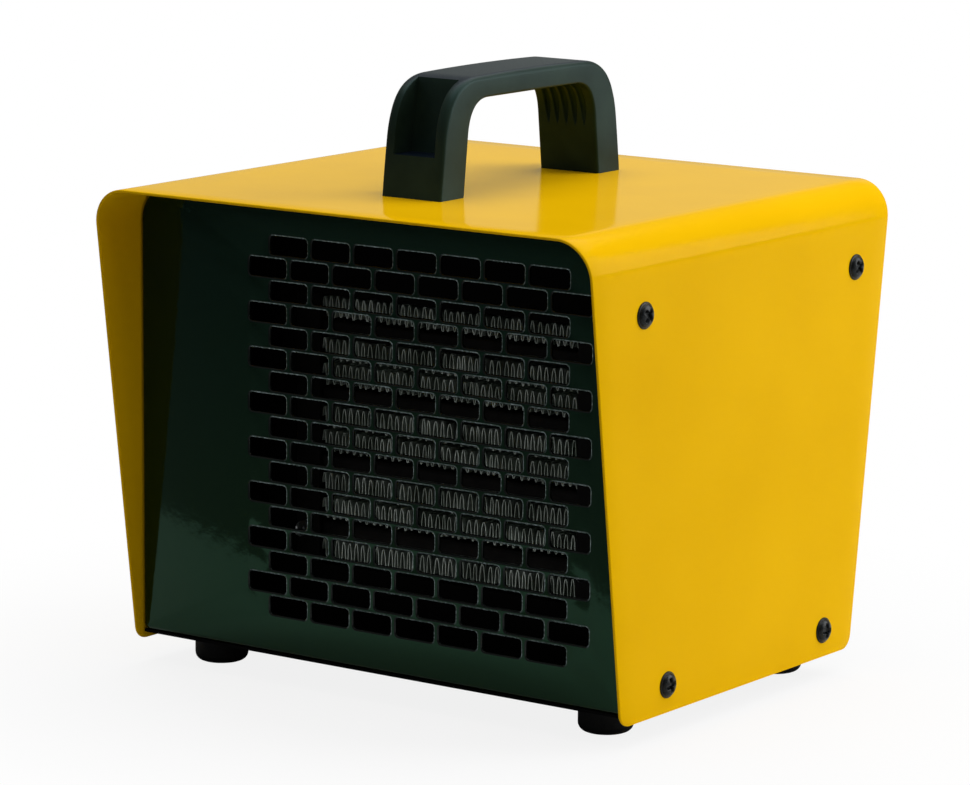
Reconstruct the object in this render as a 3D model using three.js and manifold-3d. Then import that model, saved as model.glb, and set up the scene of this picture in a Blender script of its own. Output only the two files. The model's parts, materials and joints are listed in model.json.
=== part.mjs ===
// Portable forced-air heater: a bent steel cover over a black slotted front, a ceramic (PTC)
// heating core, an axial fan with its shaded-pole motor, and two rotary controls at the rear.
// Millimetres, +Z up, front faces -Y, origin on the floor under the middle of the cover.

import * as THREE from 'three'
import { mergeVertices } from 'three/addons/utils/BufferGeometryUtils.js'
import Module from 'manifold-3d'

const wasm = await Module()
wasm.setup()

// ---------------------------------------------------------------- driving dimensions

// sheet metal
const SHEET = 1.2
const FIT = 0.3 // clearance between sheets and round fits
const RUNNING_FIT = 0.15 // round a shaft that turns in its bore
const COVER_WIDTH = 250
const COVER_HEIGHT = 197.5
const COVER_TOP_DEPTH = 226
const COVER_BOTTOM_DEPTH = 174
const COVER_BEND = 18.5 // outside radius of the two long bends
const COVER_CORNER = 5.5 // rounded lower corners of the sides
const FRONT_INSET = 3 // front panel behind the cover's lower front corners
const REAR_INSET = 12 // rear panel inside the cover's rear edge, and parallel to it
const SIDE_RETURN = 20 // depth of both panels' side returns
const TOP_RETURN = 12
const FRONT_LIP = 32 // depth of the lip under the front panel
const REAR_LIP = 16
const TRAY_RISE = 3 // underside of the base tray above the cover's lower edge
const TRAY_FLANGE = 22 // top of the base tray's side flanges

// brick-pattern grilles
const SLOT_LENGTH = 18.8
const SLOT_HEIGHT = 7.8
const SLOT_PITCH_X = 21.8
const SLOT_PITCH_Z = 9.5
const GRILLE_X = 20 // the air way lies to the right of the control space
const GRILLE_Z = 99.3
const FRONT_ROWS = 17
const FRONT_COLUMNS = 8
const INTAKE_SLOT_LENGTH = 50
const INTAKE_SLOT_HEIGHT = 5
const INTAKE_SLOT_CORNER = 1.5
const INTAKE_PITCH_X = 56
const INTAKE_ROWS = 11
const INTAKE_COLUMNS = 2

// screws and feet
const FRONT_SCREW_INSET = 34.4 // from the cover's front edge
const REAR_SCREW_INSET = 23.6 // from its rear edge
const SCREW_HEIGHTS = { bottom: 11.5, top: 164 }
const SCREW_HEAD = 12
const SCREW_DOME = 2.6
const SCREW_RIM = 0.7
const SCREW_SHANK = 4
const SCREW_LENGTH = 8
const FOOT_DIAMETER = 20.8
const FOOT_HEIGHT = 10 // below the cover's lower edge
const FOOT_EDGE = 3
const FOOT_RECESS = 10
const FOOT_RECESS_DEPTH = 5.5
const FOOT_SPAN_X = 199
const FOOT_FRONT_Y = -60
const FOOT_REAR_Y = 68
const FOOT_SCREW_HEAD = 8.4
const FOOT_SCREW_HEAD_HEIGHT = 2.6
const FOOT_SCREW_REACH = 2 // past the panels' lips

// carrying handle
const HANDLE_Y = 5.4 // middle of the handle, behind the cover's middle
const HANDLE_LENGTH = 129
const HANDLE_WIDTH = 29
const HANDLE_HEIGHT = 49.5
const HANDLE_LEG = 15.5
const HANDLE_GRIP = 9.6
const HANDLE_LEAN = 2.3 // of each leg's outer line, from the base to the knee
const HANDLE_INNER_LEAN = 3
const HANDLE_CROWN = 0.5
const HANDLE_OUTER_RADIUS = 22
const HANDLE_INNER_RADIUS = 13.5
const HANDLE_EDGE = 2.4
const HANDLE_WALL = 4.2
const HANDLE_POCKET_WALL = 2 // between each pocket's floor and the hand, at the base
const HANDLE_POCKET_LEAN = 5
const HANDLE_FOOT_BLOCK = 17.5 // solid height under each pocket
const FLUTES = 5
const FLUTE_PITCH = 4.6
const FLUTE_WIDTH = 2.8
const FLUTE_DEPTH = 1.8
const HANDLE_SCREW = 5
const HANDLE_SCREW_HEAD = 10
const HANDLE_SCREW_HEAD_HEIGHT = 3
const HANDLE_SCREW_LENGTH = 14

// heating core
const CORE_WIDTH = 130
const CORE_DEPTH = 26
const CORE_SETBACK = 24 // behind the front panel's face
const CORE_DROP = 2.1 // middle of the core below the middle of the grille
const CORE_TUBES = 4
const TUBE_HEIGHT = 7.5
const TUBE_CORNER = 2
const TUBE_ENGAGEMENT = 8 // reach of each tube end into its end frame
const FIN_HEIGHT = 10.5
const FIN_WAVES = 22
const FIN_FOLD = 1.8 // vertical thickness of a fold, at its crest
const FIN_SEAT = 0.15 // clearance above and below each fin strip
const END_FRAME = 12
const END_FRAME_WALL = 1.5 // in front of the tube ends
const TERMINAL_WIDTH = 6.3
const TERMINAL_THICKNESS = 0.8
const TERMINAL_REACH = 8

// air way, fan and motor
const DUCT_WALL = 1
const DUCT_OVERHANG = 2 // duct in front of the core
const FAN_PLATE_Y = 6 // front face of the plate behind the duct
const FAN_PLATE_MARGIN = 10 // plate beyond the duct's sides and top
const FAN_PLATE_FOOT = 15
const FAN_DIAMETER = 108
const FAN_CLEARANCE = 2
const FAN_BLADES = 5
const HUB_DIAMETER = 30
const HUB_LENGTH = 16
const HUB_FRONT_Y = -6
const BLADE_THICKNESS = 1.4
const BLADE_ROOT = { chord: 18, pitch: 42 }
const BLADE_TIP = { chord: 40, pitch: 22 }
const STRAP_WIDTH = 24
const STRAP_STANDOFF = 18.8
const STRAP_FOOT = 10
const SHAFT = 5
const BEARING_BOSS = 14
const YOKE_PLATE = 2
const YOKE_HEIGHT = 16
const YOKE_LEG = 4
const STATOR_WIDTH = 62
const STATOR_TOP = 22
const STATOR_BOTTOM = 44
const STATOR_STACK = 16
const STATOR_BORE = 27
const STATOR_WINDOW = { width: 36, height: 9, above: 12 }
const ROTOR_GAP = 0.5
const COIL_BUILD = 5
const CUTOUT_DIAMETER = 16
const CUTOUT_HEIGHT = 9

// controls on the rear panel, measured along the sloping panel
const CONTROL_X = -85
const THERMOSTAT_V = 152
const SELECTOR_V = 98
const GLAND_V = 30
const THERMOSTAT_CASE = { width: 38, height: 38, depth: 24 }
const SELECTOR_CASE = { width: 32, height: 30, depth: 28 }
const BUSH = 10
const BUSH_REACH = 4.4 // bush outside the panel
const SPINDLE = 6
const SPINDLE_REACH = 11.5 // spindle outside the panel
const SPINDLE_DEPTH = 10 // spindle inside the case
const CONTROL_NUT = 14
const CONTROL_NUT_HEIGHT = 2.5
const KNOB_DIAMETER = 38
const KNOB_SKIRT = 6
const KNOB_HEIGHT = 15
const KNOB_GRIP = 10
const KNOB_GAP = 1
const GLAND_THREAD = 16
const GLAND_HEX = 20
const GLAND_BORE = 8
const GLAND_REACH = 16
const GLAND_NUT_HEIGHT = 4
const BLOCK = { width: 34, depth: 20, height: 15, x: -92, y: 10 }
const BLOCK_POLES = 3

// facets round a turn
const FINE = 20
const ROUND = 16
const SMALL = 12
const TINY = 8

const OVERCUT = 20 // a cutting bar's reach past a small piece

// ---------------------------------------------------------------- derived places

const halfWidth = COVER_WIDTH / 2
const insideX = halfWidth - SHEET - FIT // outer face of what fits inside the cover
const lipX = insideX - SHEET - FIT // panel lips lie between the tray's flanges
const ceiling = COVER_HEIGHT - SHEET - FIT
const slope = (COVER_TOP_DEPTH - COVER_BOTTOM_DEPTH) / 2 / COVER_HEIGHT
const edgeY = z => COVER_BOTTOM_DEPTH / 2 + slope * z
const tilt = Math.atan(slope)
const floor = TRAY_RISE + SHEET // top face of the base tray
const frontFace = -COVER_BOTTOM_DEPTH / 2 + FRONT_INSET
const rearFace = z => edgeY(z) - REAR_INSET
const panelCorner = COVER_BEND - SHEET - FIT
const screwHole = SCREW_SHANK + 2 * FIT
const footHole = SCREW_SHANK + 2 * FIT
const footScrewEnd = floor + SHEET + FOOT_SCREW_REACH

const coreZ = GRILLE_Z - CORE_DROP
const corePitch = 2 * FIN_HEIGHT + TUBE_HEIGHT
const coreHeight = CORE_TUBES * corePitch
const coreFront = frontFace + CORE_SETBACK
const coreBack = coreFront + CORE_DEPTH
const coreBottom = coreZ - coreHeight / 2
const frameInner = CORE_WIDTH / 2 + FIT // from the core's middle
const frameOuter = frameInner + END_FRAME
const frameFront = coreFront - FIT - END_FRAME_WALL
const ductInner = { x: frameOuter + FIT, z: coreHeight / 2 + FIT }
const ductOuter = { x: ductInner.x + DUCT_WALL, z: ductInner.z + DUCT_WALL }
const ductTop = coreZ + ductOuter.z
const fanPlateBack = FAN_PLATE_Y + SHEET
const fanHole = FAN_DIAMETER + 2 * FAN_CLEARANCE
const strapZ = fanHole / 2 + STRAP_FOOT // reach of the strap's legs from the shaft
const strapBack = fanPlateBack + STRAP_STANDOFF
const statorFront = strapBack + YOKE_PLATE + YOKE_LEG
const statorBack = statorFront + STATOR_STACK
const handleLegY = (HANDLE_LENGTH - HANDLE_LEG) / 2

// ---------------------------------------------------------------- solids

function asSolid(geometry) {
  const bare = geometry.clone()
  bare.deleteAttribute('normal')
  bare.deleteAttribute('uv')
  const welded = mergeVertices(bare, 1e-4)
  const triangles = []
  const index = welded.index.array
  for (let i = 0; i < index.length; i += 3) {
    const [a, b, c] = [index[i], index[i + 1], index[i + 2]]
    if (a !== b && b !== c && c !== a) triangles.push(a, b, c)
  }
  const mesh = new wasm.Mesh({
    numProp: 3,
    vertProperties: new Float32Array(welded.attributes.position.array),
    triVerts: new Uint32Array(triangles),
  })
  return new wasm.Manifold(mesh)
}

function asGeometry(solid) {
  const mesh = solid.getMesh()
  const geometry = new THREE.BufferGeometry()
  geometry.setAttribute('position', new THREE.BufferAttribute(mesh.vertProperties, 3))
  geometry.setIndex(new THREE.BufferAttribute(mesh.triVerts, 1))
  geometry.computeVertexNormals()
  return geometry
}

const join = (first, ...rest) => rest.reduce((sum, geometry) => sum.add(asSolid(geometry)), asSolid(first))
const cut = (solid, geometries) => geometries.reduce((left, tool) => left.subtract(asSolid(tool)), solid)

function block(x, y, z) {
  const geometry = new THREE.BoxGeometry(x[1] - x[0], y[1] - y[0], z[1] - z[0])
  return geometry.translate((x[0] + x[1]) / 2, (y[0] + y[1]) / 2, (z[0] + z[1]) / 2)
}

// prisms of a plane shape, between two places along one axis
function prismX(shape, from, to, curveSegments = 6) {
  const geometry = new THREE.ExtrudeGeometry(shape, { depth: to - from, bevelEnabled: false, curveSegments })
  const turn = new THREE.Matrix4().makeBasis(
    new THREE.Vector3(0, 1, 0), new THREE.Vector3(0, 0, 1), new THREE.Vector3(1, 0, 0))
  return geometry.applyMatrix4(turn).translate(from, 0, 0)
}

function prismY(shape, from, to, curveSegments = 6) {
  const geometry = new THREE.ExtrudeGeometry(shape, { depth: to - from, bevelEnabled: false, curveSegments })
  return geometry.rotateX(Math.PI / 2).translate(0, to, 0)
}

function prismZ(shape, from, to, curveSegments = 6) {
  const geometry = new THREE.ExtrudeGeometry(shape, { depth: to - from, bevelEnabled: false, curveSegments })
  return geometry.translate(0, 0, from)
}

// round bars along one axis, starting at a place on it
function barX(diameter, x, y, z, length, sides = SMALL) {
  const geometry = new THREE.CylinderGeometry(diameter / 2, diameter / 2, length, sides)
  return geometry.rotateZ(-Math.PI / 2).translate(x + length / 2, y, z)
}

function barY(diameter, x, y, z, length, sides = SMALL) {
  const geometry = new THREE.CylinderGeometry(diameter / 2, diameter / 2, length, sides)
  return geometry.translate(x, y + length / 2, z)
}

function barZ(diameter, x, y, z, length, sides = SMALL) {
  const geometry = new THREE.CylinderGeometry(diameter / 2, diameter / 2, length, sides)
  return geometry.rotateX(Math.PI / 2).translate(x, y, z + length / 2)
}

function polygon(points) {
  return new THREE.Shape(points.map(([x, y]) => new THREE.Vector2(x, y)))
}

// rectangle with corner radii [lower left, lower right, upper right, upper left]
function roundedRectangle(x0, y0, x1, y1, radii) {
  const [lowerLeft, lowerRight, upperRight, upperLeft] = Array.isArray(radii) ? radii : Array(4).fill(radii)
  const shape = new THREE.Shape()
  shape.moveTo(x0 + lowerLeft, y0)
  shape.lineTo(x1 - lowerRight, y0)
  if (lowerRight > 0) shape.absarc(x1 - lowerRight, y0 + lowerRight, lowerRight, -Math.PI / 2, 0)
  shape.lineTo(x1, y1 - upperRight)
  if (upperRight > 0) shape.absarc(x1 - upperRight, y1 - upperRight, upperRight, 0, Math.PI / 2)
  shape.lineTo(x0 + upperLeft, y1)
  if (upperLeft > 0) shape.absarc(x0 + upperLeft, y1 - upperLeft, upperLeft, Math.PI / 2, Math.PI)
  shape.lineTo(x0, y0 + lowerLeft)
  if (lowerLeft > 0) shape.absarc(x0 + lowerLeft, y0 + lowerLeft, lowerLeft, Math.PI, 1.5 * Math.PI)
  return shape
}

function circlePath(x, y, diameter, sides = SMALL) {
  const points = []
  for (let side = 0; side < sides; side += 1) {
    const angle = ((side + 0.5) / sides) * 2 * Math.PI
    points.push(new THREE.Vector2(x + diameter / 2 * Math.cos(angle), y + diameter / 2 * Math.sin(angle)))
  }
  return new THREE.Path(points)
}

// solid of revolution about Z from [radius, height] points, listed upwards
function turned(points, sides = ROUND) {
  return new THREE.LatheGeometry(points.map(([r, z]) => new THREE.Vector2(r, z)), sides).rotateX(Math.PI / 2)
}

// centres of a brick-pattern grille: rows alternate between one slot fewer and the full count
function brickCentres(rows, columns, x, z) {
  const centres = []
  for (let row = 0; row < rows; row += 1) {
    const count = row % 2 === 0 ? columns - 1 : columns
    for (let column = 0; column < count; column += 1) {
      const offset = (column - (count - 1) / 2) * SLOT_PITCH_X
      centres.push([x + offset, z + ((rows - 1) / 2 - row) * SLOT_PITCH_Z])
    }
  }
  return centres
}

// one intake slot's outline, with its corners cut off
function intakeSlot(x, z) {
  const [a, b, c] = [INTAKE_SLOT_LENGTH / 2, INTAKE_SLOT_HEIGHT / 2, INTAKE_SLOT_CORNER]
  const corners = [[a - c, -b], [a, c - b], [a, b - c], [a - c, b], [c - a, b], [-a, b - c], [-a, c - b], [c - a, -b]]
  return new THREE.Path(corners.map(([dx, dz]) => new THREE.Vector2(x + dx, z + dz)))
}

// ---------------------------------------------------------------- casing

const screwPlaces = []
for (const [level, z] of Object.entries(SCREW_HEIGHTS)) {
  screwPlaces.push({ name: `front_${level}`, y: -edgeY(z) + FRONT_SCREW_INSET, z })
  screwPlaces.push({ name: `rear_${level}`, y: edgeY(z) - REAR_SCREW_INSET, z })
}
const screwBars = places =>
  places.map(({ y, z }) => barX(screwHole, -halfWidth - 1, y, z, COVER_WIDTH + 2, TINY))

// bent cover: a U section cut to the side view with its sloping ends
function outerCover() {
  const section = roundedRectangle(-halfWidth, 0, halfWidth, COVER_HEIGHT, [0, 0, COVER_BEND, COVER_BEND])
  const inner = COVER_BEND - SHEET
  const hollow = roundedRectangle(
    SHEET - halfWidth, -1, halfWidth - SHEET, COVER_HEIGHT - SHEET, [0, 0, inner, inner])
  const length = COVER_TOP_DEPTH / 2
  const side = new THREE.Shape()
  const foot = edgeY(0)
  const corner = COVER_CORNER
  side.moveTo(corner - foot, 0)
  side.lineTo(foot - corner, 0)
  side.quadraticCurveTo(foot, 0, edgeY(corner), corner)
  side.lineTo(edgeY(COVER_HEIGHT), COVER_HEIGHT)
  side.lineTo(-edgeY(COVER_HEIGHT), COVER_HEIGHT)
  side.lineTo(-edgeY(corner), corner)
  side.quadraticCurveTo(-foot, 0, corner - foot, 0)
  const shell = asSolid(prismY(section, -length, length, 8))
    .subtract(asSolid(prismY(hollow, -length - 1, length + 1, 8)))
    .intersect(asSolid(prismX(side, -halfWidth - 1, halfWidth + 1)))
  const handleHoles = [-1, 1].map(end =>
    barZ(HANDLE_SCREW + 2 * FIT, 0, HANDLE_Y + end * handleLegY, COVER_HEIGHT - 5, 10, TINY))
  return asGeometry(cut(shell, [...screwBars(screwPlaces), ...handleHoles]))
}

// outline of a panel in the X-Z plane under the cover's bends, with its holes
function panelPlate(bottom, top, corner, holes) {
  const outline = roundedRectangle(-insideX, bottom, insideX, top, [0, 0, corner, corner])
  outline.holes = holes
  return outline
}

function frontPanel() {
  const back = frontFace + SHEET
  const plate = prismY(panelPlate(floor, ceiling, panelCorner, []), frontFace, back)
  const slots = brickCentres(FRONT_ROWS, FRONT_COLUMNS, GRILLE_X, GRILLE_Z).map(([x, z]) =>
    block([x - SLOT_LENGTH / 2, x + SLOT_LENGTH / 2], [frontFace - 1, back + 1],
      [z - SLOT_HEIGHT / 2, z + SLOT_HEIGHT / 2]))
  const returns = [-1, 1].map(side => {
    const x = [side * insideX, side * (insideX - SHEET)].sort((a, b) => a - b)
    return block(x, [frontFace, frontFace + SIDE_RETURN], [floor, ceiling - panelCorner])
  })
  const reach = insideX - panelCorner
  const top = block([-reach, reach], [frontFace, frontFace + TOP_RETURN], [ceiling - SHEET, ceiling])
  const lip = block([-lipX, lipX], [frontFace, frontFace + FRONT_LIP], [floor, floor + SHEET])
  const footHoles = footPlaces.filter(({ y }) => y < 0)
    .map(({ x, y }) => barZ(footHole, x, y, floor - 1, SHEET + 2, TINY))
  const screws = screwBars(screwPlaces.filter(({ name }) => name === 'front_top'))
  return asGeometry(cut(join(plate, ...returns, top, lip), [...slots, ...footHoles, ...screws]))
}

// turns a geometry from the sloping panel's own frame (x, outward, up) into place
function ontoRearPanel(geometry) {
  return geometry.rotateX(-tilt).translate(0, rearFace(0), 0)
}

function rearPanel() {
  const bottom = floor / Math.cos(tilt) + FIT
  const top = ceiling / Math.cos(tilt) - FIT
  const holes = [
    circlePath(CONTROL_X, THERMOSTAT_V, BUSH + 2 * FIT),
    circlePath(CONTROL_X, SELECTOR_V, BUSH + 2 * FIT),
    circlePath(CONTROL_X, GLAND_V, GLAND_THREAD + 2 * FIT),
  ]
  for (let row = 0; row < INTAKE_ROWS; row += 1) {
    for (let column = 0; column < INTAKE_COLUMNS; column += 1) {
      const x = GRILLE_X + (column - (INTAKE_COLUMNS - 1) / 2) * INTAKE_PITCH_X
      const v = coreZ / Math.cos(tilt) + (row - (INTAKE_ROWS - 1) / 2) * SLOT_PITCH_Z
      holes.push(intakeSlot(x, v))
    }
  }
  const corner = panelCorner + 1
  const plate = prismY(panelPlate(bottom, top, corner, holes), -SHEET, 0)
  const returns = [-1, 1].map(side => {
    const x = [side * insideX, side * (insideX - SHEET)].sort((a, b) => a - b)
    return block(x, [-SIDE_RETURN, 0], [bottom, top - corner])
  })
  const lipY = rearFace(floor) - SHEET / 2
  const lip = block([-lipX, lipX], [lipY - REAR_LIP, lipY], [floor, floor + SHEET])
  const topY = rearFace(ceiling) - SHEET / 2
  const reach = insideX - corner
  const ledge = block([-reach, reach], [topY - TOP_RETURN, topY], [ceiling - SHEET, ceiling])
  const footHoles = footPlaces.filter(({ y }) => y > 0)
    .map(({ x, y }) => barZ(footHole, x, y, floor - 1, SHEET + 2, TINY))
  const screws = screwBars(screwPlaces.filter(({ name }) => name.startsWith('rear')))
  const sheets = [plate, ...returns].map(ontoRearPanel)
  return asGeometry(cut(join(...sheets, lip, ledge), [...footHoles, ...screws]))
}

const footPlaces = []
for (const [end, y] of [['front', FOOT_FRONT_Y], ['rear', FOOT_REAR_Y]]) {
  footPlaces.push({ name: `left_${end}`, x: -FOOT_SPAN_X / 2, y })
  footPlaces.push({ name: `right_${end}`, x: FOOT_SPAN_X / 2, y })
}

function baseTray() {
  const front = frontFace + SHEET / 2
  const back = COVER_BOTTOM_DEPTH / 2 - COVER_CORNER / 2
  const pan = roundedRectangle(-insideX, front, insideX, back, 1)
  const flangeFront = frontFace + SIDE_RETURN + 2 * FIT
  const flangeBack = rearFace(0) - SIDE_RETURN / Math.cos(tilt) - 2 * FIT
  const flanges = [-1, 1].map(side => {
    const x = [side * insideX, side * (insideX - SHEET)].sort((a, b) => a - b)
    return block(x, [flangeFront, flangeBack], [TRAY_RISE, TRAY_FLANGE])
  })
  const holes = footPlaces.map(({ x, y }) => barZ(footHole, x, y, TRAY_RISE - 1, SHEET + 2, TINY))
  const screws = screwBars(screwPlaces.filter(({ name }) => name === 'front_bottom'))
  return asGeometry(cut(join(prismZ(pan, TRAY_RISE, floor, 2), ...flanges), [...holes, ...screws]))
}

// domed screw head on a plain shank, pointing along +Z with the seat at zero
function coverScrew() {
  const radius = SCREW_HEAD / 2
  const dome = []
  for (let step = 0; step < 2; step += 1) {
    const angle = (step / 2) * (Math.PI / 2)
    dome.push([radius * Math.cos(angle), SCREW_RIM + SCREW_DOME * Math.sin(angle)])
  }
  dome.push([0, SCREW_RIM + SCREW_DOME])
  const shank = SCREW_SHANK / 2
  return turned([[0, -SCREW_LENGTH], [shank, -SCREW_LENGTH], [shank, 0], [radius, 0], ...dome], SMALL)
}

function foot() {
  const [radius, hole] = [FOOT_DIAMETER / 2, footHole / 2]
  const profile = [[hole, TRAY_RISE], [hole, -FOOT_HEIGHT + FOOT_RECESS_DEPTH]]
  profile.push([FOOT_RECESS / 2, -FOOT_HEIGHT + FOOT_RECESS_DEPTH])
  profile.push([FOOT_RECESS / 2, -FOOT_HEIGHT])
  for (let step = 0; step <= 2; step += 1) {
    const angle = (step / 2) * (Math.PI / 2)
    profile.push([
      radius - FOOT_EDGE + FOOT_EDGE * Math.sin(angle),
      FOOT_EDGE - FOOT_HEIGHT - FOOT_EDGE * Math.cos(angle)])
  }
  profile.push([radius, TRAY_RISE], [hole, TRAY_RISE])
  return turned(profile, ROUND)
}

function footScrew() {
  const seat = -FOOT_HEIGHT + FOOT_RECESS_DEPTH
  const [head, shank] = [FOOT_SCREW_HEAD / 2, SCREW_SHANK / 2]
  const end = footScrewEnd
  const bottom = seat - FOOT_SCREW_HEAD_HEIGHT
  return turned([[0, bottom], [head, bottom], [head, seat], [shank, seat], [shank, end], [0, end]], SMALL)
}

// ---------------------------------------------------------------- handle

// half of the arch's side view, from its middle outwards: outer line of one leg
function handleArch() {
  const half = HANDLE_LENGTH / 2
  const shape = new THREE.Shape()
  const knee = half - HANDLE_LEAN
  const inner = half - HANDLE_LEG
  const innerKnee = inner - HANDLE_INNER_LEAN
  const under = HANDLE_HEIGHT - HANDLE_GRIP
  const shoulder = HANDLE_HEIGHT - HANDLE_CROWN
  const [outerTurn, innerTurn] = [HANDLE_OUTER_RADIUS, HANDLE_INNER_RADIUS]
  shape.moveTo(-half, 0)
  shape.lineTo(-inner, 0)
  shape.lineTo(-innerKnee, under - innerTurn)
  shape.quadraticCurveTo(-innerKnee + 2, under, -innerKnee + innerTurn + 1, under)
  shape.lineTo(innerKnee - innerTurn - 1, under)
  shape.quadraticCurveTo(innerKnee - 2, under, innerKnee, under - innerTurn)
  shape.lineTo(inner, 0)
  shape.lineTo(half, 0)
  shape.lineTo(knee, HANDLE_HEIGHT - outerTurn)
  shape.quadraticCurveTo(knee - 2, shoulder, knee - outerTurn, shoulder)
  shape.quadraticCurveTo(0, HANDLE_HEIGHT + HANDLE_CROWN, outerTurn - knee, shoulder)
  shape.quadraticCurveTo(2 - knee, shoulder, -knee, HANDLE_HEIGHT - outerTurn)
  return shape
}

// moulded arch: pockets in the outer face of both legs, finger flutes under the grip
function handle() {
  const half = HANDLE_WIDTH / 2
  const section = roundedRectangle(-half, -1, half, HANDLE_HEIGHT + FIT, [0, 0, HANDLE_EDGE, HANDLE_EDGE])
  const reach = HANDLE_LENGTH / 2 + 1
  const arch = asSolid(prismX(handleArch(), -half, half, 8))
    .intersect(asSolid(prismY(section, -reach, reach, 2)))
  const pocketHalf = half - HANDLE_WALL
  const inner = HANDLE_LENGTH / 2 - HANDLE_LEG
  const pocketFloor = inner + HANDLE_POCKET_WALL
  const top = HANDLE_HEIGHT + 2
  const pockets = [-1, 1].map(end => {
    const outside = end * (reach + 1)
    const upper = end * (pocketFloor - HANDLE_POCKET_LEAN)
    return prismX(polygon([
      [end * pocketFloor, HANDLE_FOOT_BLOCK], [outside, HANDLE_FOOT_BLOCK],
      [outside, top], [upper, top]]), -pocketHalf, pocketHalf)
  })
  const tip = inner - HANDLE_INNER_LEAN
  const flutes = []
  for (let flute = 0; flute < FLUTES; flute += 1) {
    const x = (flute - (FLUTES - 1) / 2) * FLUTE_PITCH
    const slot = roundedRectangle(x - FLUTE_WIDTH / 2, -tip, x + FLUTE_WIDTH / 2, tip, FLUTE_WIDTH / 2 - 0.01)
    flutes.push(prismZ(slot, HANDLE_FOOT_BLOCK, HANDLE_HEIGHT - HANDLE_GRIP + FLUTE_DEPTH, 2))
  }
  const bores = [-1, 1].map(end =>
    barZ(HANDLE_SCREW + 2 * FIT, 0, end * handleLegY, -1, HANDLE_SCREW_LENGTH - SHEET + 2, TINY))
  return asGeometry(cut(arch, [...pockets, ...flutes, ...bores]))
}

// pan-head screw from inside the cover up into one handle leg
function handleScrew() {
  const [head, shank] = [HANDLE_SCREW_HEAD / 2, HANDLE_SCREW / 2]
  const low = -HANDLE_SCREW_HEAD_HEIGHT
  return turned([
    [0, low], [head, low], [head, 0], [shank, 0], [shank, HANDLE_SCREW_LENGTH], [0, HANDLE_SCREW_LENGTH]], SMALL)
}

// ---------------------------------------------------------------- heating core

// aluminium tube that holds the ceramic heating stones
function coreTube() {
  const [y, z] = [CORE_DEPTH / 2, TUBE_HEIGHT / 2]
  const reach = frameInner + TUBE_ENGAGEMENT
  return prismX(roundedRectangle(-y, -z, y, z, TUBE_CORNER), -reach, reach, 3)
}

// folded aluminium strip: a zigzag of one thickness, brazed between the tubes
function finStrip() {
  const low = FIN_SEAT - FIN_HEIGHT / 2
  const high = FIN_HEIGHT / 2 - FIN_SEAT
  const half = CORE_WIDTH / FIN_WAVES / 2
  const upper = []
  const lower = []
  for (let fold = 0; fold <= 2 * FIN_WAVES; fold += 1) {
    const x = -CORE_WIDTH / 2 + fold * half
    const crest = fold % 2 === 1
    upper.push([x, crest ? high : low + FIN_FOLD])
    lower.push([x, crest ? high - FIN_FOLD : low])
  }
  return prismY(polygon([...lower, ...upper.reverse()]), -CORE_DEPTH / 2, CORE_DEPTH / 2)
}

// upright moulding that receives the tube ends on one side of the core
function endFrame(side) {
  const x = [side * frameInner, side * frameOuter].sort((a, b) => a - b)
  const upright = block(x, [frameFront, coreBack], [coreBottom, coreBottom + coreHeight])
  const sockets = []
  for (let tube = 0; tube < CORE_TUBES; tube += 1) {
    const z = coreBottom + (tube + 0.5) * corePitch
    const inner = side * (frameInner - 1)
    const outer = side * (frameInner + TUBE_ENGAGEMENT + FIT)
    const socket = [inner, outer].sort((a, b) => a - b)
    const y = [coreFront - FIT, coreBack + 1]
    sockets.push(block(socket, y, [z - TUBE_HEIGHT / 2 - FIT, z + TUBE_HEIGHT / 2 + FIT]))
  }
  return asGeometry(cut(asSolid(upright), sockets))
}

// spade terminal standing forward from one end frame, level with the lowest tube
function coreTerminal(side) {
  const x = side * (frameInner + END_FRAME / 2)
  const z = coreBottom + corePitch / 2
  const half = TERMINAL_WIDTH / 2
  const tip = frameFront - TERMINAL_REACH
  const tab = polygon([
    [frameFront, z - half], [frameFront, z + half], [tip + 1.5, z + half],
    [tip, z + half - 1.5], [tip, z - half + 1.5], [tip + 1.5, z - half]])
  tab.holes = [circlePath(frameFront - TERMINAL_REACH / 2, z, 1.8, 8)]
  return prismX(tab, x - TERMINAL_THICKNESS / 2, x + TERMINAL_THICKNESS / 2, 4)
}

// ---------------------------------------------------------------- air way and fan

// duct round the core, with a baffle plate at its front that shuts off the space beside it
function airDuct() {
  const front = coreFront - DUCT_OVERHANG
  const bore = roundedRectangle(-ductInner.x, -ductInner.z, ductInner.x, ductInner.z, 0)
  const tube = roundedRectangle(-ductOuter.x, -ductOuter.z, ductOuter.x, ductOuter.z, 0)
  tube.holes = [bore]
  const low = footScrewEnd + FIT - coreZ
  const high = ceiling - SHEET - FIT - coreZ
  const turn = panelCorner - SHEET - FIT
  const baffle = roundedRectangle(-lipX - GRILLE_X, low, lipX - GRILLE_X, high, [0, 0, turn, turn])
  baffle.holes = [bore]
  return asGeometry(join(prismY(tube, front, FAN_PLATE_Y), prismY(baffle, front, front + DUCT_WALL)))
}

// upright plate with the fan's round opening and a foot on the tray
function fanPlate() {
  const half = ductOuter.x + FAN_PLATE_MARGIN
  const outline = roundedRectangle(
    GRILLE_X - half, floor, GRILLE_X + half, ductTop + FAN_PLATE_MARGIN, [0, 0, 8, 8])
  outline.holes = [circlePath(GRILLE_X, coreZ, fanHole, 2 * ROUND)]
  const plate = prismY(outline, FAN_PLATE_Y, fanPlateBack, 3)
  const base = block([GRILLE_X - half, GRILLE_X + half],
    [FAN_PLATE_Y, fanPlateBack + FAN_PLATE_FOOT], [floor, floor + SHEET])
  return asGeometry(join(plate, base))
}

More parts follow.
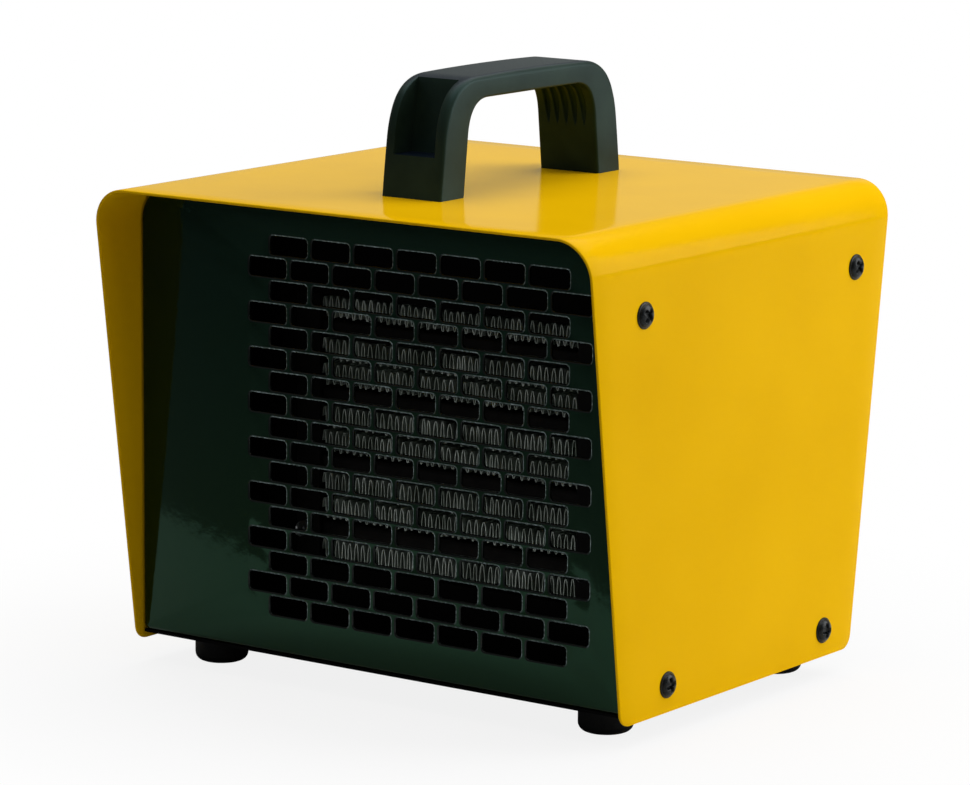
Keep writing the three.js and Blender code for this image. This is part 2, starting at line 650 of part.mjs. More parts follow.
// hat-shaped strap across the opening, carrying the motor on its bridge
function motorStrap() {
  const hat = polygon([
    [fanPlateBack, strapZ + STRAP_FOOT], [fanPlateBack, strapZ - SHEET], [strapBack - SHEET, strapZ - SHEET],
    [strapBack - SHEET, SHEET - strapZ], [fanPlateBack, SHEET - strapZ], [fanPlateBack, -strapZ - STRAP_FOOT],
    [fanPlateBack + SHEET, -strapZ - STRAP_FOOT], [fanPlateBack + SHEET, -strapZ], [strapBack, -strapZ],
    [strapBack, strapZ], [fanPlateBack + SHEET, strapZ], [fanPlateBack + SHEET, strapZ + STRAP_FOOT],
  ])
  const strap = asSolid(prismX(hat, -STRAP_WIDTH / 2, STRAP_WIDTH / 2))
  const nose = barY(BEARING_BOSS + 2 * FIT, 0, strapBack - 5, 0, 10, ROUND)
  return asGeometry(cut(strap, [nose]))
}

// bearing bracket on one face of the stator: a bar with two legs and a bored boss
function bearingYoke(face, outward, bossReach) {
  const half = STATOR_WIDTH / 2 - 1
  const seat = face + outward * YOKE_LEG
  const far = seat + outward * YOKE_PLATE
  const order = (a, b) => [Math.min(a, b), Math.max(a, b)]
  const z = [-YOKE_HEIGHT / 2, YOKE_HEIGHT / 2]
  const bar = block([-half, half], order(seat, far), z)
  const legs = [-1, 1].map(side => block(order(side * half, side * (half - YOKE_LEG)), order(face, far), z))
  const boss = barY(BEARING_BOSS, 0, Math.min(seat, far + outward * bossReach), 0, YOKE_PLATE + bossReach, ROUND)
  const bore = barY(SHAFT + 2 * RUNNING_FIT, 0, Math.min(face, far) - OVERCUT, 0, 2 * OVERCUT, ROUND)
  return asGeometry(cut(join(bar, ...legs, boss), [bore]))
}

// laminated C-frame with the rotor bore above and the coil window below
function motorStator() {
  const half = STATOR_WIDTH / 2
  const outline = roundedRectangle(-half, -STATOR_BOTTOM, half, STATOR_TOP, 4)
  const { width, height, above } = STATOR_WINDOW
  outline.holes = [
    circlePath(0, 0, STATOR_BORE, FINE),
    roundedRectangle(-width / 2, above - STATOR_BOTTOM, width / 2, above + height - STATOR_BOTTOM, 0),
  ]
  return prismY(outline, statorFront, statorBack, 2)
}

// winding on its bobbin, round the stator's lower leg
function motorCoil() {
  const { width, height, above } = STATOR_WINDOW
  const half = width / 2 - FIT
  const low = -STATOR_BOTTOM - COIL_BUILD
  const high = above + height - STATOR_BOTTOM - FIT
  const ring = roundedRectangle(statorFront - COIL_BUILD, low, statorBack + COIL_BUILD, high, 2)
  ring.holes = [roundedRectangle(
    statorFront - FIT, -STATOR_BOTTOM - FIT, statorBack + FIT, above - STATOR_BOTTOM + FIT, 0)]
  return prismX(ring, -half, half, 2)
}

// steel shaft with the squirrel-cage rotor
function motorShaft() {
  const radius = SHAFT / 2
  const cage = STATOR_BORE / 2 - ROTOR_GAP
  const front = HUB_FRONT_Y + FIT
  const back = statorBack + YOKE_LEG + YOKE_PLATE + 6
  return turned([
    [0, -back], [radius, -back], [radius, -statorBack], [cage, -statorBack], [cage, -statorFront],
    [radius, -statorFront], [radius, -front], [0, -front]], ROUND).rotateX(Math.PI / 2)
}

// one twisted blade: flat stations from the hub to the tip, each turned to its own pitch
function fanBlade() {
  const stations = 6
  const rings = []
  const root = HUB_DIAMETER / 2 - 1.5
  for (let station = 0; station <= stations; station += 1) {
    const t = station / stations
    const radius = root + t * (FAN_DIAMETER / 2 - root)
    const chord = THREE.MathUtils.lerp(BLADE_ROOT.chord, BLADE_TIP.chord, Math.sin(t * Math.PI / 2))
    const pitch = THREE.MathUtils.degToRad(THREE.MathUtils.lerp(BLADE_ROOT.pitch, BLADE_TIP.pitch, t))
    const ring = [[-1, -1], [1, -1], [1, 1], [-1, 1]].map(([along, across]) => {
      const u = along * chord / 2
      const v = across * BLADE_THICKNESS / 2
      const tangential = u * Math.cos(pitch) - v * Math.sin(pitch)
      const axial = u * Math.sin(pitch) + v * Math.cos(pitch)
      const angle = tangential / Math.max(radius, root + 4)
      return new THREE.Vector3(radius * Math.sin(angle), axial, radius * Math.cos(angle))
    })
    rings.push(ring)
  }
  const corners = []
  const face = (a, b, c) => corners.push(a, b, c)
  for (let station = 0; station < stations; station += 1) {
    for (let side = 0; side < 4; side += 1) {
      const next = (side + 1) % 4
      face(rings[station][side], rings[station][next], rings[station + 1][next])
      face(rings[station][side], rings[station + 1][next], rings[station + 1][side])
    }
  }
  const [first, last] = [rings[0], rings[stations]]
  face(first[0], first[2], first[1])
  face(first[0], first[3], first[2])
  face(last[0], last[1], last[2])
  face(last[0], last[2], last[3])
  return new THREE.BufferGeometry().setFromPoints(corners)
}

function fanRotor() {
  const middle = HUB_FRONT_Y + HUB_LENGTH / 2
  let rotor = asSolid(barY(HUB_DIAMETER, 0, HUB_FRONT_Y, 0, HUB_LENGTH, FINE))
  for (let blade = 0; blade < FAN_BLADES; blade += 1) {
    const angle = (blade / FAN_BLADES) * 2 * Math.PI
    rotor = rotor.add(asSolid(fanBlade().translate(0, middle, 0).rotateY(angle)))
  }
  const bore = barY(SHAFT + 2 * FIT, 0, HUB_FRONT_Y - 1, 0, HUB_LENGTH + 2, SMALL)
  return asGeometry(cut(rotor, [bore]))
}

// bimetal overheat switch: a disc case on a flanged cap with two tabs
function thermalCutout() {
  const ear = 12
  const plate = roundedRectangle(-ear, -4, ear, 4, 3)
  const cap = prismZ(plate, 0, SHEET, 2)
  const case_ = barZ(CUTOUT_DIAMETER, 0, 0, 0, CUTOUT_HEIGHT, ROUND)
  const tabs = [-1, 1].map(side =>
    block([side * 4.5 - 0.4, side * 4.5 + 0.4], [-TERMINAL_WIDTH / 2, TERMINAL_WIDTH / 2],
      [CUTOUT_HEIGHT - 1, CUTOUT_HEIGHT + TERMINAL_REACH]))
  return asGeometry(join(cap, case_, ...tabs))
}

// ---------------------------------------------------------------- controls

// the panel's own frame has its outer face at y = 0 and outside at +y
function controlCase({ width, height, depth }) {
  const inside = -SHEET - FIT
  const body = block([-width / 2, width / 2], [inside - depth, inside], [-height / 2, height / 2])
  const bush = barY(BUSH, 0, inside - 1, 0, 1 - inside + BUSH_REACH, ROUND)
  const bore = barY(SPINDLE + 2 * RUNNING_FIT, 0, inside - SPINDLE_DEPTH - FIT, 0, SPINDLE_DEPTH + OVERCUT, ROUND)
  return asGeometry(cut(join(body, bush), [bore]))
}

function controlNut() {
  const hex = new THREE.CylinderGeometry(CONTROL_NUT / Math.sqrt(3), CONTROL_NUT / Math.sqrt(3), CONTROL_NUT_HEIGHT, 6)
  hex.translate(0, FIT + CONTROL_NUT_HEIGHT / 2, 0)
  return asGeometry(cut(asSolid(hex), [barY(BUSH + 2 * FIT, 0, -5, 0, 20, ROUND)]))
}

function controlSpindle() {
  const inside = -SHEET - FIT - SPINDLE_DEPTH
  return barY(SPINDLE, 0, inside, 0, SPINDLE_REACH - inside, ROUND)
}

// skirted knob with a raised grip bar, hollow under the skirt to clear the nut
function controlKnob() {
  const radius = KNOB_DIAMETER / 2
  const top = KNOB_GAP + KNOB_SKIRT
  const end = KNOB_GAP + KNOB_HEIGHT
  const skirt = turned([
    [0, KNOB_GAP], [radius, KNOB_GAP], [radius, top - 1.5], [radius - 1.5, top], [0, top]], FINE)
    .rotateX(-Math.PI / 2)
  const grip = new THREE.Shape()
  grip.moveTo(-radius + 2, top - 1)
  grip.lineTo(radius - 2, top - 1)
  grip.lineTo(radius - 4, end - 3)
  grip.quadraticCurveTo(radius - 5, end, radius - 8, end)
  grip.lineTo(8 - radius, end)
  grip.quadraticCurveTo(5 - radius, end, 4 - radius, end - 3)
  const bar = prismZ(grip, -KNOB_GRIP / 2, KNOB_GRIP / 2, 3).rotateY(Math.PI / 2)
  const overNut = barY(CONTROL_NUT * 2 / Math.sqrt(3) + 2, 0, 0, 0, CONTROL_NUT_HEIGHT + 3 * FIT, ROUND)
  const overBush = barY(BUSH + 1, 0, 0, 0, BUSH_REACH + FIT, ROUND)
  const bore = barY(SPINDLE + 2 * FIT, 0, 0, 0, SPINDLE_REACH + FIT, ROUND)
  return asGeometry(cut(join(skirt, bar), [overNut, overBush, bore]))
}

// cord gland without a cord: threaded body, hexagon and domed cap with an open bore
function cableGland() {
  const [thread, bore] = [GLAND_THREAD / 2, GLAND_BORE / 2]
  const inside = -SHEET - FIT - GLAND_NUT_HEIGHT - 2
  const tube = turned([
    [bore, inside], [thread, inside], [thread, 5], [thread + 1, 6], [thread + 1, GLAND_REACH - 3],
    [thread - 1, GLAND_REACH - 1], [bore, GLAND_REACH], [bore, inside]], SMALL)
    .rotateX(-Math.PI / 2)
  const hex = new THREE.CylinderGeometry(GLAND_HEX / Math.sqrt(3), GLAND_HEX / Math.sqrt(3), 5, 6)
  hex.translate(0, FIT + 2.5, 0)
  return asGeometry(cut(join(tube, hex), [barY(GLAND_BORE, 0, inside - 1, 0, GLAND_REACH - inside + 2, SMALL)]))
}

function glandNut() {
  const hex = new THREE.CylinderGeometry(GLAND_HEX / Math.sqrt(3), GLAND_HEX / Math.sqrt(3), GLAND_NUT_HEIGHT, 6)
  hex.translate(0, -SHEET - FIT - GLAND_NUT_HEIGHT / 2, 0)
  return asGeometry(cut(asSolid(hex), [barY(GLAND_THREAD + 2 * FIT, 0, -OVERCUT, 0, 2 * OVERCUT, SMALL)]))
}

// screw terminal strip on the tray, one well for each pole
function terminalBlock() {
  const { width, depth, height } = BLOCK
  const body = block([-width / 2, width / 2], [-depth / 2, depth / 2], [0, height])
  const pitch = width / BLOCK_POLES
  const wells = []
  for (let pole = 0; pole < BLOCK_POLES; pole += 1) {
    const x = (pole - (BLOCK_POLES - 1) / 2) * pitch
    wells.push(barZ(5, x, 0, height - 6, 8))
    wells.push(block([x - 3, x + 3], [-depth, 5 - depth / 2], [4, 10]))
    wells.push(block([x - 3, x + 3], [depth / 2 - 5, depth], [4, 10]))
  }
  return asGeometry(cut(asSolid(body), wells))
}

// ---------------------------------------------------------------- assembly

const finish = {
  yellowPaint: { color: 0xe2ac12, roughness: 0.3, metalness: 0.1 },
  blackPanel: { color: 0x0b1110, roughness: 0.2, metalness: 0.2 },
  blackPlastic: { color: 0x1f2828, roughness: 0.5, metalness: 0 },
  blackScrew: { color: 0x14171a, roughness: 0.3, metalness: 0.6 },
  rubber: { color: 0x0a0b0b, roughness: 0.8, metalness: 0 },
  zinc: { color: 0xb4b7b8, roughness: 0.35, metalness: 0.9 },
  aluminium: { color: 0x9a9a94, roughness: 0.4, metalness: 0.9 },
  galvanised: { color: 0x8f9598, roughness: 0.45, metalness: 0.8 },
  lamination: { color: 0x55585c, roughness: 0.5, metalness: 0.8 },
  winding: { color: 0x8a4a1e, roughness: 0.4, metalness: 0.4 },
  heatMoulding: { color: 0x26221e, roughness: 0.6, metalness: 0 },
  paleMoulding: { color: 0xd8d4c8, roughness: 0.5, metalness: 0 },
}

const heater = new THREE.Group()
const casing = new THREE.Group() // heights count from the cover's lower edge
casing.position.z = FOOT_HEIGHT
heater.add(casing)

function place(parent, name, geometry, look, x = 0, y = 0, z = 0) {
  const mesh = new THREE.Mesh(geometry, new THREE.MeshStandardMaterial(finish[look]))
  mesh.name = name
  mesh.position.set(x, y, z)
  parent.add(mesh)
  return mesh
}

place(casing, 'outer_cover', outerCover(), 'yellowPaint')
place(casing, 'front_panel', frontPanel(), 'blackPanel')
place(casing, 'rear_panel', rearPanel(), 'blackPanel')
place(casing, 'base_tray', baseTray(), 'blackPanel')
place(casing, 'handle', handle(), 'blackPlastic', 0, HANDLE_Y, COVER_HEIGHT)
for (const [name, end] of [['front', -1], ['rear', 1]]) {
  place(casing, `handle_screw_${name}`, handleScrew(), 'zinc',
    0, HANDLE_Y + end * handleLegY, COVER_HEIGHT - SHEET)
}

for (const { name, y, z } of screwPlaces) {
  place(casing, `cover_screw_left_${name}`, coverScrew(), 'blackScrew', -halfWidth, y, z).rotation.y = -Math.PI / 2
  place(casing, `cover_screw_right_${name}`, coverScrew(), 'blackScrew', halfWidth, y, z).rotation.y = Math.PI / 2
}

for (const { name, x, y } of footPlaces) {
  place(casing, `foot_${name}`, foot(), 'rubber', x, y, 0)
  place(casing, `foot_screw_${name}`, footScrew(), 'zinc', x, y, 0)
}

const airWay = new THREE.Group() // centred on the shaft
airWay.position.set(GRILLE_X, 0, coreZ)
casing.add(airWay)
const coreY = (coreFront + coreBack) / 2
for (let tube = 0; tube < CORE_TUBES; tube += 1) {
  const z = coreBottom - coreZ + (tube + 0.5) * corePitch
  const step = (TUBE_HEIGHT + FIN_HEIGHT) / 2
  place(airWay, `core_tube_${tube + 1}`, coreTube(), 'aluminium', 0, coreY, z)
  place(airWay, `fin_strip_${2 * tube + 1}`, finStrip(), 'aluminium', 0, coreY, z - step)
  place(airWay, `fin_strip_${2 * tube + 2}`, finStrip(), 'aluminium', 0, coreY, z + step)
}
for (const [name, side] of [['left', -1], ['right', 1]]) {
  place(casing, `core_end_${name}`, endFrame(side), 'heatMoulding', GRILLE_X)
  place(casing, `core_terminal_${name}`, coreTerminal(side), 'zinc', GRILLE_X)
}

place(airWay, 'air_duct', airDuct(), 'blackPanel')
place(casing, 'fan_plate', fanPlate(), 'galvanised')
place(airWay, 'motor_strap', motorStrap(), 'galvanised')
place(airWay, 'motor_yoke_front', bearingYoke(statorFront, -1, 5), 'zinc')
place(airWay, 'motor_yoke_rear', bearingYoke(statorBack, 1, 3), 'zinc')
place(airWay, 'motor_stator', motorStator(), 'lamination')
place(airWay, 'motor_coil', motorCoil(), 'winding')
place(airWay, 'motor_shaft', motorShaft(), 'zinc')
place(airWay, 'fan_rotor', fanRotor(), 'aluminium')
place(casing, 'thermal_cutout', thermalCutout(), 'heatMoulding', GRILLE_X, (coreBack + FAN_PLATE_Y) / 2, ductTop)
place(casing, 'terminal_block', terminalBlock(), 'paleMoulding', BLOCK.x, BLOCK.y, floor)

const rearFrame = new THREE.Group() // y = 0 on the rear panel's outer face
rearFrame.position.y = rearFace(0)
rearFrame.rotation.x = -tilt
casing.add(rearFrame)
for (const [name, v, size] of [['thermostat', THERMOSTAT_V, THERMOSTAT_CASE], ['selector', SELECTOR_V, SELECTOR_CASE]]) {
  place(rearFrame, `${name}_body`, controlCase(size), 'paleMoulding', CONTROL_X, 0, v)
  place(rearFrame, `${name}_nut`, controlNut(), 'zinc', CONTROL_X, 0, v)
  place(rearFrame, `${name}_spindle`, controlSpindle(), 'zinc', CONTROL_X, 0, v)
  place(rearFrame, `${name}_knob`, controlKnob(), 'blackPlastic', CONTROL_X, 0, v)
}
place(rearFrame, 'cable_gland', cableGland(), 'blackPlastic', CONTROL_X, 0, GLAND_V)
place(rearFrame, 'gland_nut', glandNut(), 'blackPlastic', CONTROL_X, 0, GLAND_V)

export default heater
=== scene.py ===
"""Portable forced-air heater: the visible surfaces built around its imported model.

Sizes in this file are millimetres with +Z up and the front facing -Y, and become metres when
a mesh is made. Heights count from the floor. Every piece sits at the origin with its place in
its mesh.
"""
import json
import math

import bmesh
import bpy
import numpy as np
from mathutils import Matrix, Vector
from mathutils.geometry import delaunay_2d_cdt


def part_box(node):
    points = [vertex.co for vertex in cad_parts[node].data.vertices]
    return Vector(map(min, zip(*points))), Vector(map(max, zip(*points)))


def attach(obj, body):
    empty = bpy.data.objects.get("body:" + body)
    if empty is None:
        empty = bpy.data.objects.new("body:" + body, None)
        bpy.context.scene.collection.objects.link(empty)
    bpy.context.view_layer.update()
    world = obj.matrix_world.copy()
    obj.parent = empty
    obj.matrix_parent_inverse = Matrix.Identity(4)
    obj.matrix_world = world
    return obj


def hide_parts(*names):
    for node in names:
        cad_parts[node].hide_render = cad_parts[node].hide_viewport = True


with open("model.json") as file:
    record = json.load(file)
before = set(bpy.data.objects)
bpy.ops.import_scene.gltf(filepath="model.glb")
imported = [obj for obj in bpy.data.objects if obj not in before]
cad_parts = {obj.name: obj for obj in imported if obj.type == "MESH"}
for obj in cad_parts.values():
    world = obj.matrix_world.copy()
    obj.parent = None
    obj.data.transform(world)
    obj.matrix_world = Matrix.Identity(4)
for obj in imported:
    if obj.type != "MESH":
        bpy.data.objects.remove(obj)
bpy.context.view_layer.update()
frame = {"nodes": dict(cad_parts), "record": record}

MM = 0.001

# ---------------------------------------------------------------- sizes of the heater

SHEET = 1.2
FEET = 10.0                      # lower edge of the cover above the floor
TRAY_RISE = 3.0                  # underside of the tray above the cover's lower edge

COVER_WIDTH = 250.0
COVER_HEIGHT = 197.5
COVER_TOP_DEPTH = 226.0
COVER_BOTTOM_DEPTH = 174.0
COVER_BEND = 16.0                # outer radius of the two bends
COVER_CORNER = 5.5               # radius of the lower corners, seen from the side
COVER_EDGE = 0.55                # rounding of the front and rear edges
COVER_SLOPE = (COVER_TOP_DEPTH - COVER_BOTTOM_DEPTH) / 2 / COVER_HEIGHT
TILT = math.atan(COVER_SLOPE)

PANEL_HALF = 123.5               # half width of both panels, inside the cover
PANEL_LOW = FEET + TRAY_RISE + 1.2
PANEL_HIGH = FEET + 196.0
PANEL_TURN = 15.0                # radius of the panels' upper corners
PANEL_FOOT_TURN = 3.0            # radius of their lower corners
PANEL_BEND = 2.2                 # outer radius of the bend round a panel's face
PANEL_FACE = -84.0
REAR_FACE = 75.0                 # rear panel's face at the cover's lower edge
RIM_GROW, RIM_SINK = 0.75, 0.6   # width and depth of the rounding at each hole's edge

AIR_X = 20.0                     # middle of the core and the grille
SLOT = (19.3, 7.7)
SLOT_TURN = 1.5
SLOT_PITCH = (21.8, 9.5)
SLOT_ROWS, SLOT_COLUMNS = 17, 8
GRILLE_X = AIR_X + 0.8
GRILLE_Z = FEET + 100.4
CORE_Z = FEET + 97.2
INTAKE_SLOT = (50, 5)
INTAKE_TURN = 2.4
INTAKE_PITCH = 56                # between the two columns of intake slots
INTAKE_ROWS = 11

CONTROL_X = -85.0
THERMOSTAT_UP, SELECTOR_UP, GLAND_UP = 152.0, 98.0, 30.0   # up along the rear panel
CONTROL_HOLE, GLAND_HOLE = 10.6, 16.6
DIAL_RADIUS = 23.4
DIGIT_HEIGHT = 4.6
MARK_STEP = 45                   # degrees between two dial marks

HANDLE_Y = 5.4
HANDLE_HALF = 15.1               # half of the handle's width
# handle's side view: base, start of the knee, knee's corner, end of the knee, crown
OUTER_LINE = [(65.2, 0), (62.6, 25), (60, 48.7), (38, 49), (0, 49.5)]
INNER_LINE = [(48.4, 0), (45.6, 25), (44, 39.9), (31.5, 39.9), (0, 39.9)]
KNEE_START = 25.0
INNER_EDGE = 1.2                 # rounding of the edges along the inner line
OUTER_EDGE_AT = (0, 12, 22, 34, 49)            # heights above the cover, and the rounding of
OUTER_EDGES = (1.2, 1.4, 1.8, 2.6, 2.6)        # the edges along the outer line there
POCKET_LOW = 17.5                # solid height under each pocket
POCKET_DEEP = 51.0               # pocket's floor from the handle's middle, at POCKET_LOW
POCKET_LEAN = 5.0 / 34           # how far that floor leans inwards for each mm of height
POCKET_WALL = 4.8
POCKET_LIP = 0.6
FLUTE_PITCH = 4.6
FLUTE_DEPTH = 1.9
FLUTE_HALF = 1.55
FLUTE_COUNT = 5
FLUTE_START, FLUTE_RUN_IN = 21, 9          # height where the flutes start, and how far they run in

SCREW_HEIGHTS = {"bottom": 11.5, "top": 164.0}
SCREW_INSETS = {"front": 34.4, "rear": 23.6}               # from the cover's sloping edges
SCREW_RIM, SCREW_DOME, SCREW_RADIUS = 0.7, 1.8, 4.8        # the dome's base, rise and radius
CROSS_HALF, CROSS_REACH, CROSS_DEPTH = 1.15, 3.3, 1.5      # half width, length and depth of an arm
FOOT_X = 99.5
FOOT_ENDS = {"front": -60, "rear": 68}
FOOT_RADIUS, FOOT_EDGE = 11.4, 3.6
FOOT_BORE, FOOT_RECESS, FOOT_RECESS_DEPTH = 2.3, 5, 5.5    # two radii and the recess's depth

FIN_WAVES = 38
FIN_HALF_THICKNESS = 0.16
FIN_STEEPNESS = 0.985            # 1 would be a zigzag with sharp turns

# ---------------------------------------------------------------- camera and light

CAMERA_ANGLES = (35.631, 10.338, 0.446)    # azimuth, elevation and roll in degrees
CAMERA_TARGET = (-4.78, 0.0, FEET + 108.1)
CAMERA_DISTANCE = 1.9                      # metres
SENSOR = 36.0
FOCAL, PICTURE_WIDTH = 4492, 970           # in the photograph's pixels
LENS = SENSOR * FOCAL / PICTURE_WIDTH
SOFT_LIGHT = 0.22                          # surroundings' light on the object, where white is 1


def photo_camera():
    """Camera of the photograph: a long lens, fitted to the cover's corners and screws."""
    azimuth, elevation, roll = (math.radians(angle) for angle in CAMERA_ANGLES)
    back = Vector((math.sin(azimuth) * math.cos(elevation),
                   -math.cos(azimuth) * math.cos(elevation),
                   math.sin(elevation)))
    right = (-back).cross(Vector((0, 0, 1))).normalized()
    up = back.cross(right)
    side = right * math.cos(roll) + up * math.sin(roll)
    top = up * math.cos(roll) - right * math.sin(roll)
    data = bpy.data.cameras.new("photo_view")
    data.sensor_fit = "HORIZONTAL"
    data.sensor_width = SENSOR
    data.lens = LENS
    camera = bpy.data.objects.new("photo_view", data)
    place = Matrix.Translation(Vector(CAMERA_TARGET) * MM + back * CAMERA_DISTANCE)
    camera.matrix_world = place @ Matrix((side, top, back)).transposed().to_4x4()
    bpy.context.scene.collection.objects.link(camera)
    bpy.context.scene.camera = camera


photo_camera()


# ---------------------------------------------------------------- surfaces

def grid(points):
    """Quads between neighbouring points of a rows x columns x 3 grid."""
    rows, columns = points.shape[:2]
    corner = np.arange(rows * columns).reshape(rows, columns)
    quads = np.stack([corner[:-1, :-1], corner[:-1, 1:], corner[1:, 1:], corner[1:, :-1]], -1)
    return points.reshape(-1, 3), quads.reshape(-1, 4)


def end_caps(body):
    """Fans that close a tube of section rows at its first and last row, round their middles."""
    return [grid(np.stack([row, np.broadcast_to(row.mean(0), row.shape)]))
            for row in (body[0], body[-1])]


def piece(name, parts, finishes, body, stands_for=(), sharp=32.0):
    """One mesh piece from (points, faces) or (points, faces, finish number) parts. Points that
    coincide are merged, which closes seams and poles, and all faces are turned outwards."""
    points = np.concatenate([part[0] for part in parts]) * MM
    starts = np.cumsum([0] + [len(part[0]) for part in parts[:-1]])
    faces = [row for part, start in zip(parts, starts) for row in (part[1] + start).tolist()]
    numbers = np.concatenate([np.full(len(part[1]), part[2] if len(part) > 2 else 0)
                              for part in parts])
    mesh = bpy.data.meshes.new(name)
    mesh.from_pydata(points.tolist(), [], faces)
    mesh.polygons.foreach_set("material_index", numbers.astype(np.int32))
    work = bmesh.new()
    work.from_mesh(mesh)
    bmesh.ops.remove_doubles(work, verts=work.verts, dist=2e-6)
    bmesh.ops.recalc_face_normals(work, faces=work.faces)
    work.to_mesh(mesh)
    work.free()
    for finish in finishes if isinstance(finishes, list) else [finishes]:
        mesh.materials.append(finish)
    mesh.shade_smooth()
    mesh.set_sharp_from_angle(angle=math.radians(sharp))
    made = bpy.data.objects.new(name, mesh)
    bpy.context.scene.collection.objects.link(made)
    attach(made, body)
    if stands_for:
        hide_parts(*stands_for)


def arc(first, last, steps):
    """Cosines and sines along a circle's arc, in degrees, as two columns."""
    angle = np.radians(np.linspace(first, last, steps + 1))
    return np.stack([np.cos(angle), np.sin(angle)], -1)


def rounded_loops(centres, size, radius, grow=0.0, steps=4):
    """Outlines of equal rounded rectangles: each corner is a quarter circle round a fixed centre,
    and grow widens the outline by the same amount all round."""
    signs = np.repeat([[1, 1], [-1, 1], [-1, -1], [1, -1]], steps + 1, axis=0)
    turn = np.concatenate([arc(90 * k, 90 * k + 90, steps) for k in range(4)])
    outline = signs * (np.array(size) / 2 - radius) + (radius + grow) * turn
    return np.asarray(centres, float)[:, None, :] + outline


def filled(outer, holes):
    """Flat fill between an outline and convex holes: a constrained triangulation without the
    triangles whose middle lies inside a hole."""
    loops = [outer, *holes]
    edges, start = [], 0
    for loop in loops:
        here = np.arange(len(loop))
        edges.append(start + np.stack([here, np.roll(here, -1)], -1))
        start += len(loop)
    corners = [Vector(point) for point in np.concatenate(loops)]
    found = delaunay_2d_cdt(corners, np.concatenate(edges).tolist(), [], 1, 1e-5)
    points = np.array([tuple(point) for point in found[0]])
    triangles = np.array(found[2])
    middle = points[triangles].mean(1)
    keep = np.ones(len(triangles), bool)
    for hole in holes:
        side = np.roll(hole, -1, 0) - hole
        offset = middle[:, None, :] - hole
        keep &= (side[:, 0] * offset[..., 1] - side[:, 1] * offset[..., 0] < 0).any(1)
    return points, triangles[keep]


def turned(profile, columns=48, lobes=None):
    """Body of revolution about Z from (radius, height) points: x = r cos a, y = r sin a, z = h.
    lobes(angle, r, h) may change the radius round the turn."""
    profile = np.asarray(profile, float)
    angle = np.linspace(0, 2 * np.pi, columns + 1)[None, :]
    radius = np.repeat(profile[:, :1], columns + 1, 1)
    height = np.repeat(profile[:, 1:], columns + 1, 1)
    if lobes is not None:
        radius = lobes(angle, radius, height)
    return np.stack([radius * np.cos(angle), radius * np.sin(angle), height], -1)


def fillet(profile, radius, steps=3):
    """Profile with each inner point replaced by a short curve: the quadratic curve that starts
    and ends at `radius` from the corner, or at 45% of the shorter side next to it."""
    profile = np.asarray(profile, float)
    made = [profile[0]]
    t = np.linspace(0, 1, steps + 1)[:, None]
    for before, here, after in zip(profile[:-2], profile[1:-1], profile[2:]):
        reach = [min(radius, 0.45 * np.linalg.norm(end - here)) for end in (before, after)]
        start = here + (before - here) / np.linalg.norm(before - here) * reach[0]
        end = here + (after - here) / np.linalg.norm(after - here) * reach[1]
        made.extend((1 - t) ** 2 * start + 2 * t * (1 - t) * here + t ** 2 * end)
    made.append(profile[-1])
    return np.array(made)


# ---------------------------------------------------------------- finishes

def colour(red, green, blue):
    """A screen colour from 0-255 numbers, as the linear values that a shader takes."""
    part = [c / 255 for c in (red, green, blue)]
    return (*[c / 12.92 if c <= 0.04045 else ((c + 0.055) / 1.055) ** 2.4 for c in part], 1.0)


class Pattern:
    """A socket of a finish, with the arithmetic that its patterns are written in."""

    def __init__(self, finish, socket):
        self.finish, self.socket = finish, socket

    def maths(self, operation, *values):
        return self.finish.node("ShaderNodeMath", {"operation": operation}, dict(enumerate(values)))

    def __add__(self, other):
        return self.maths("ADD", self, other)

    def __rsub__(self, other):
        return self.maths("SUBTRACT", other, self)

    def __mul__(self, other):
        return self.maths("MULTIPLY", self, other)

    __radd__, __rmul__ = __add__, __mul__


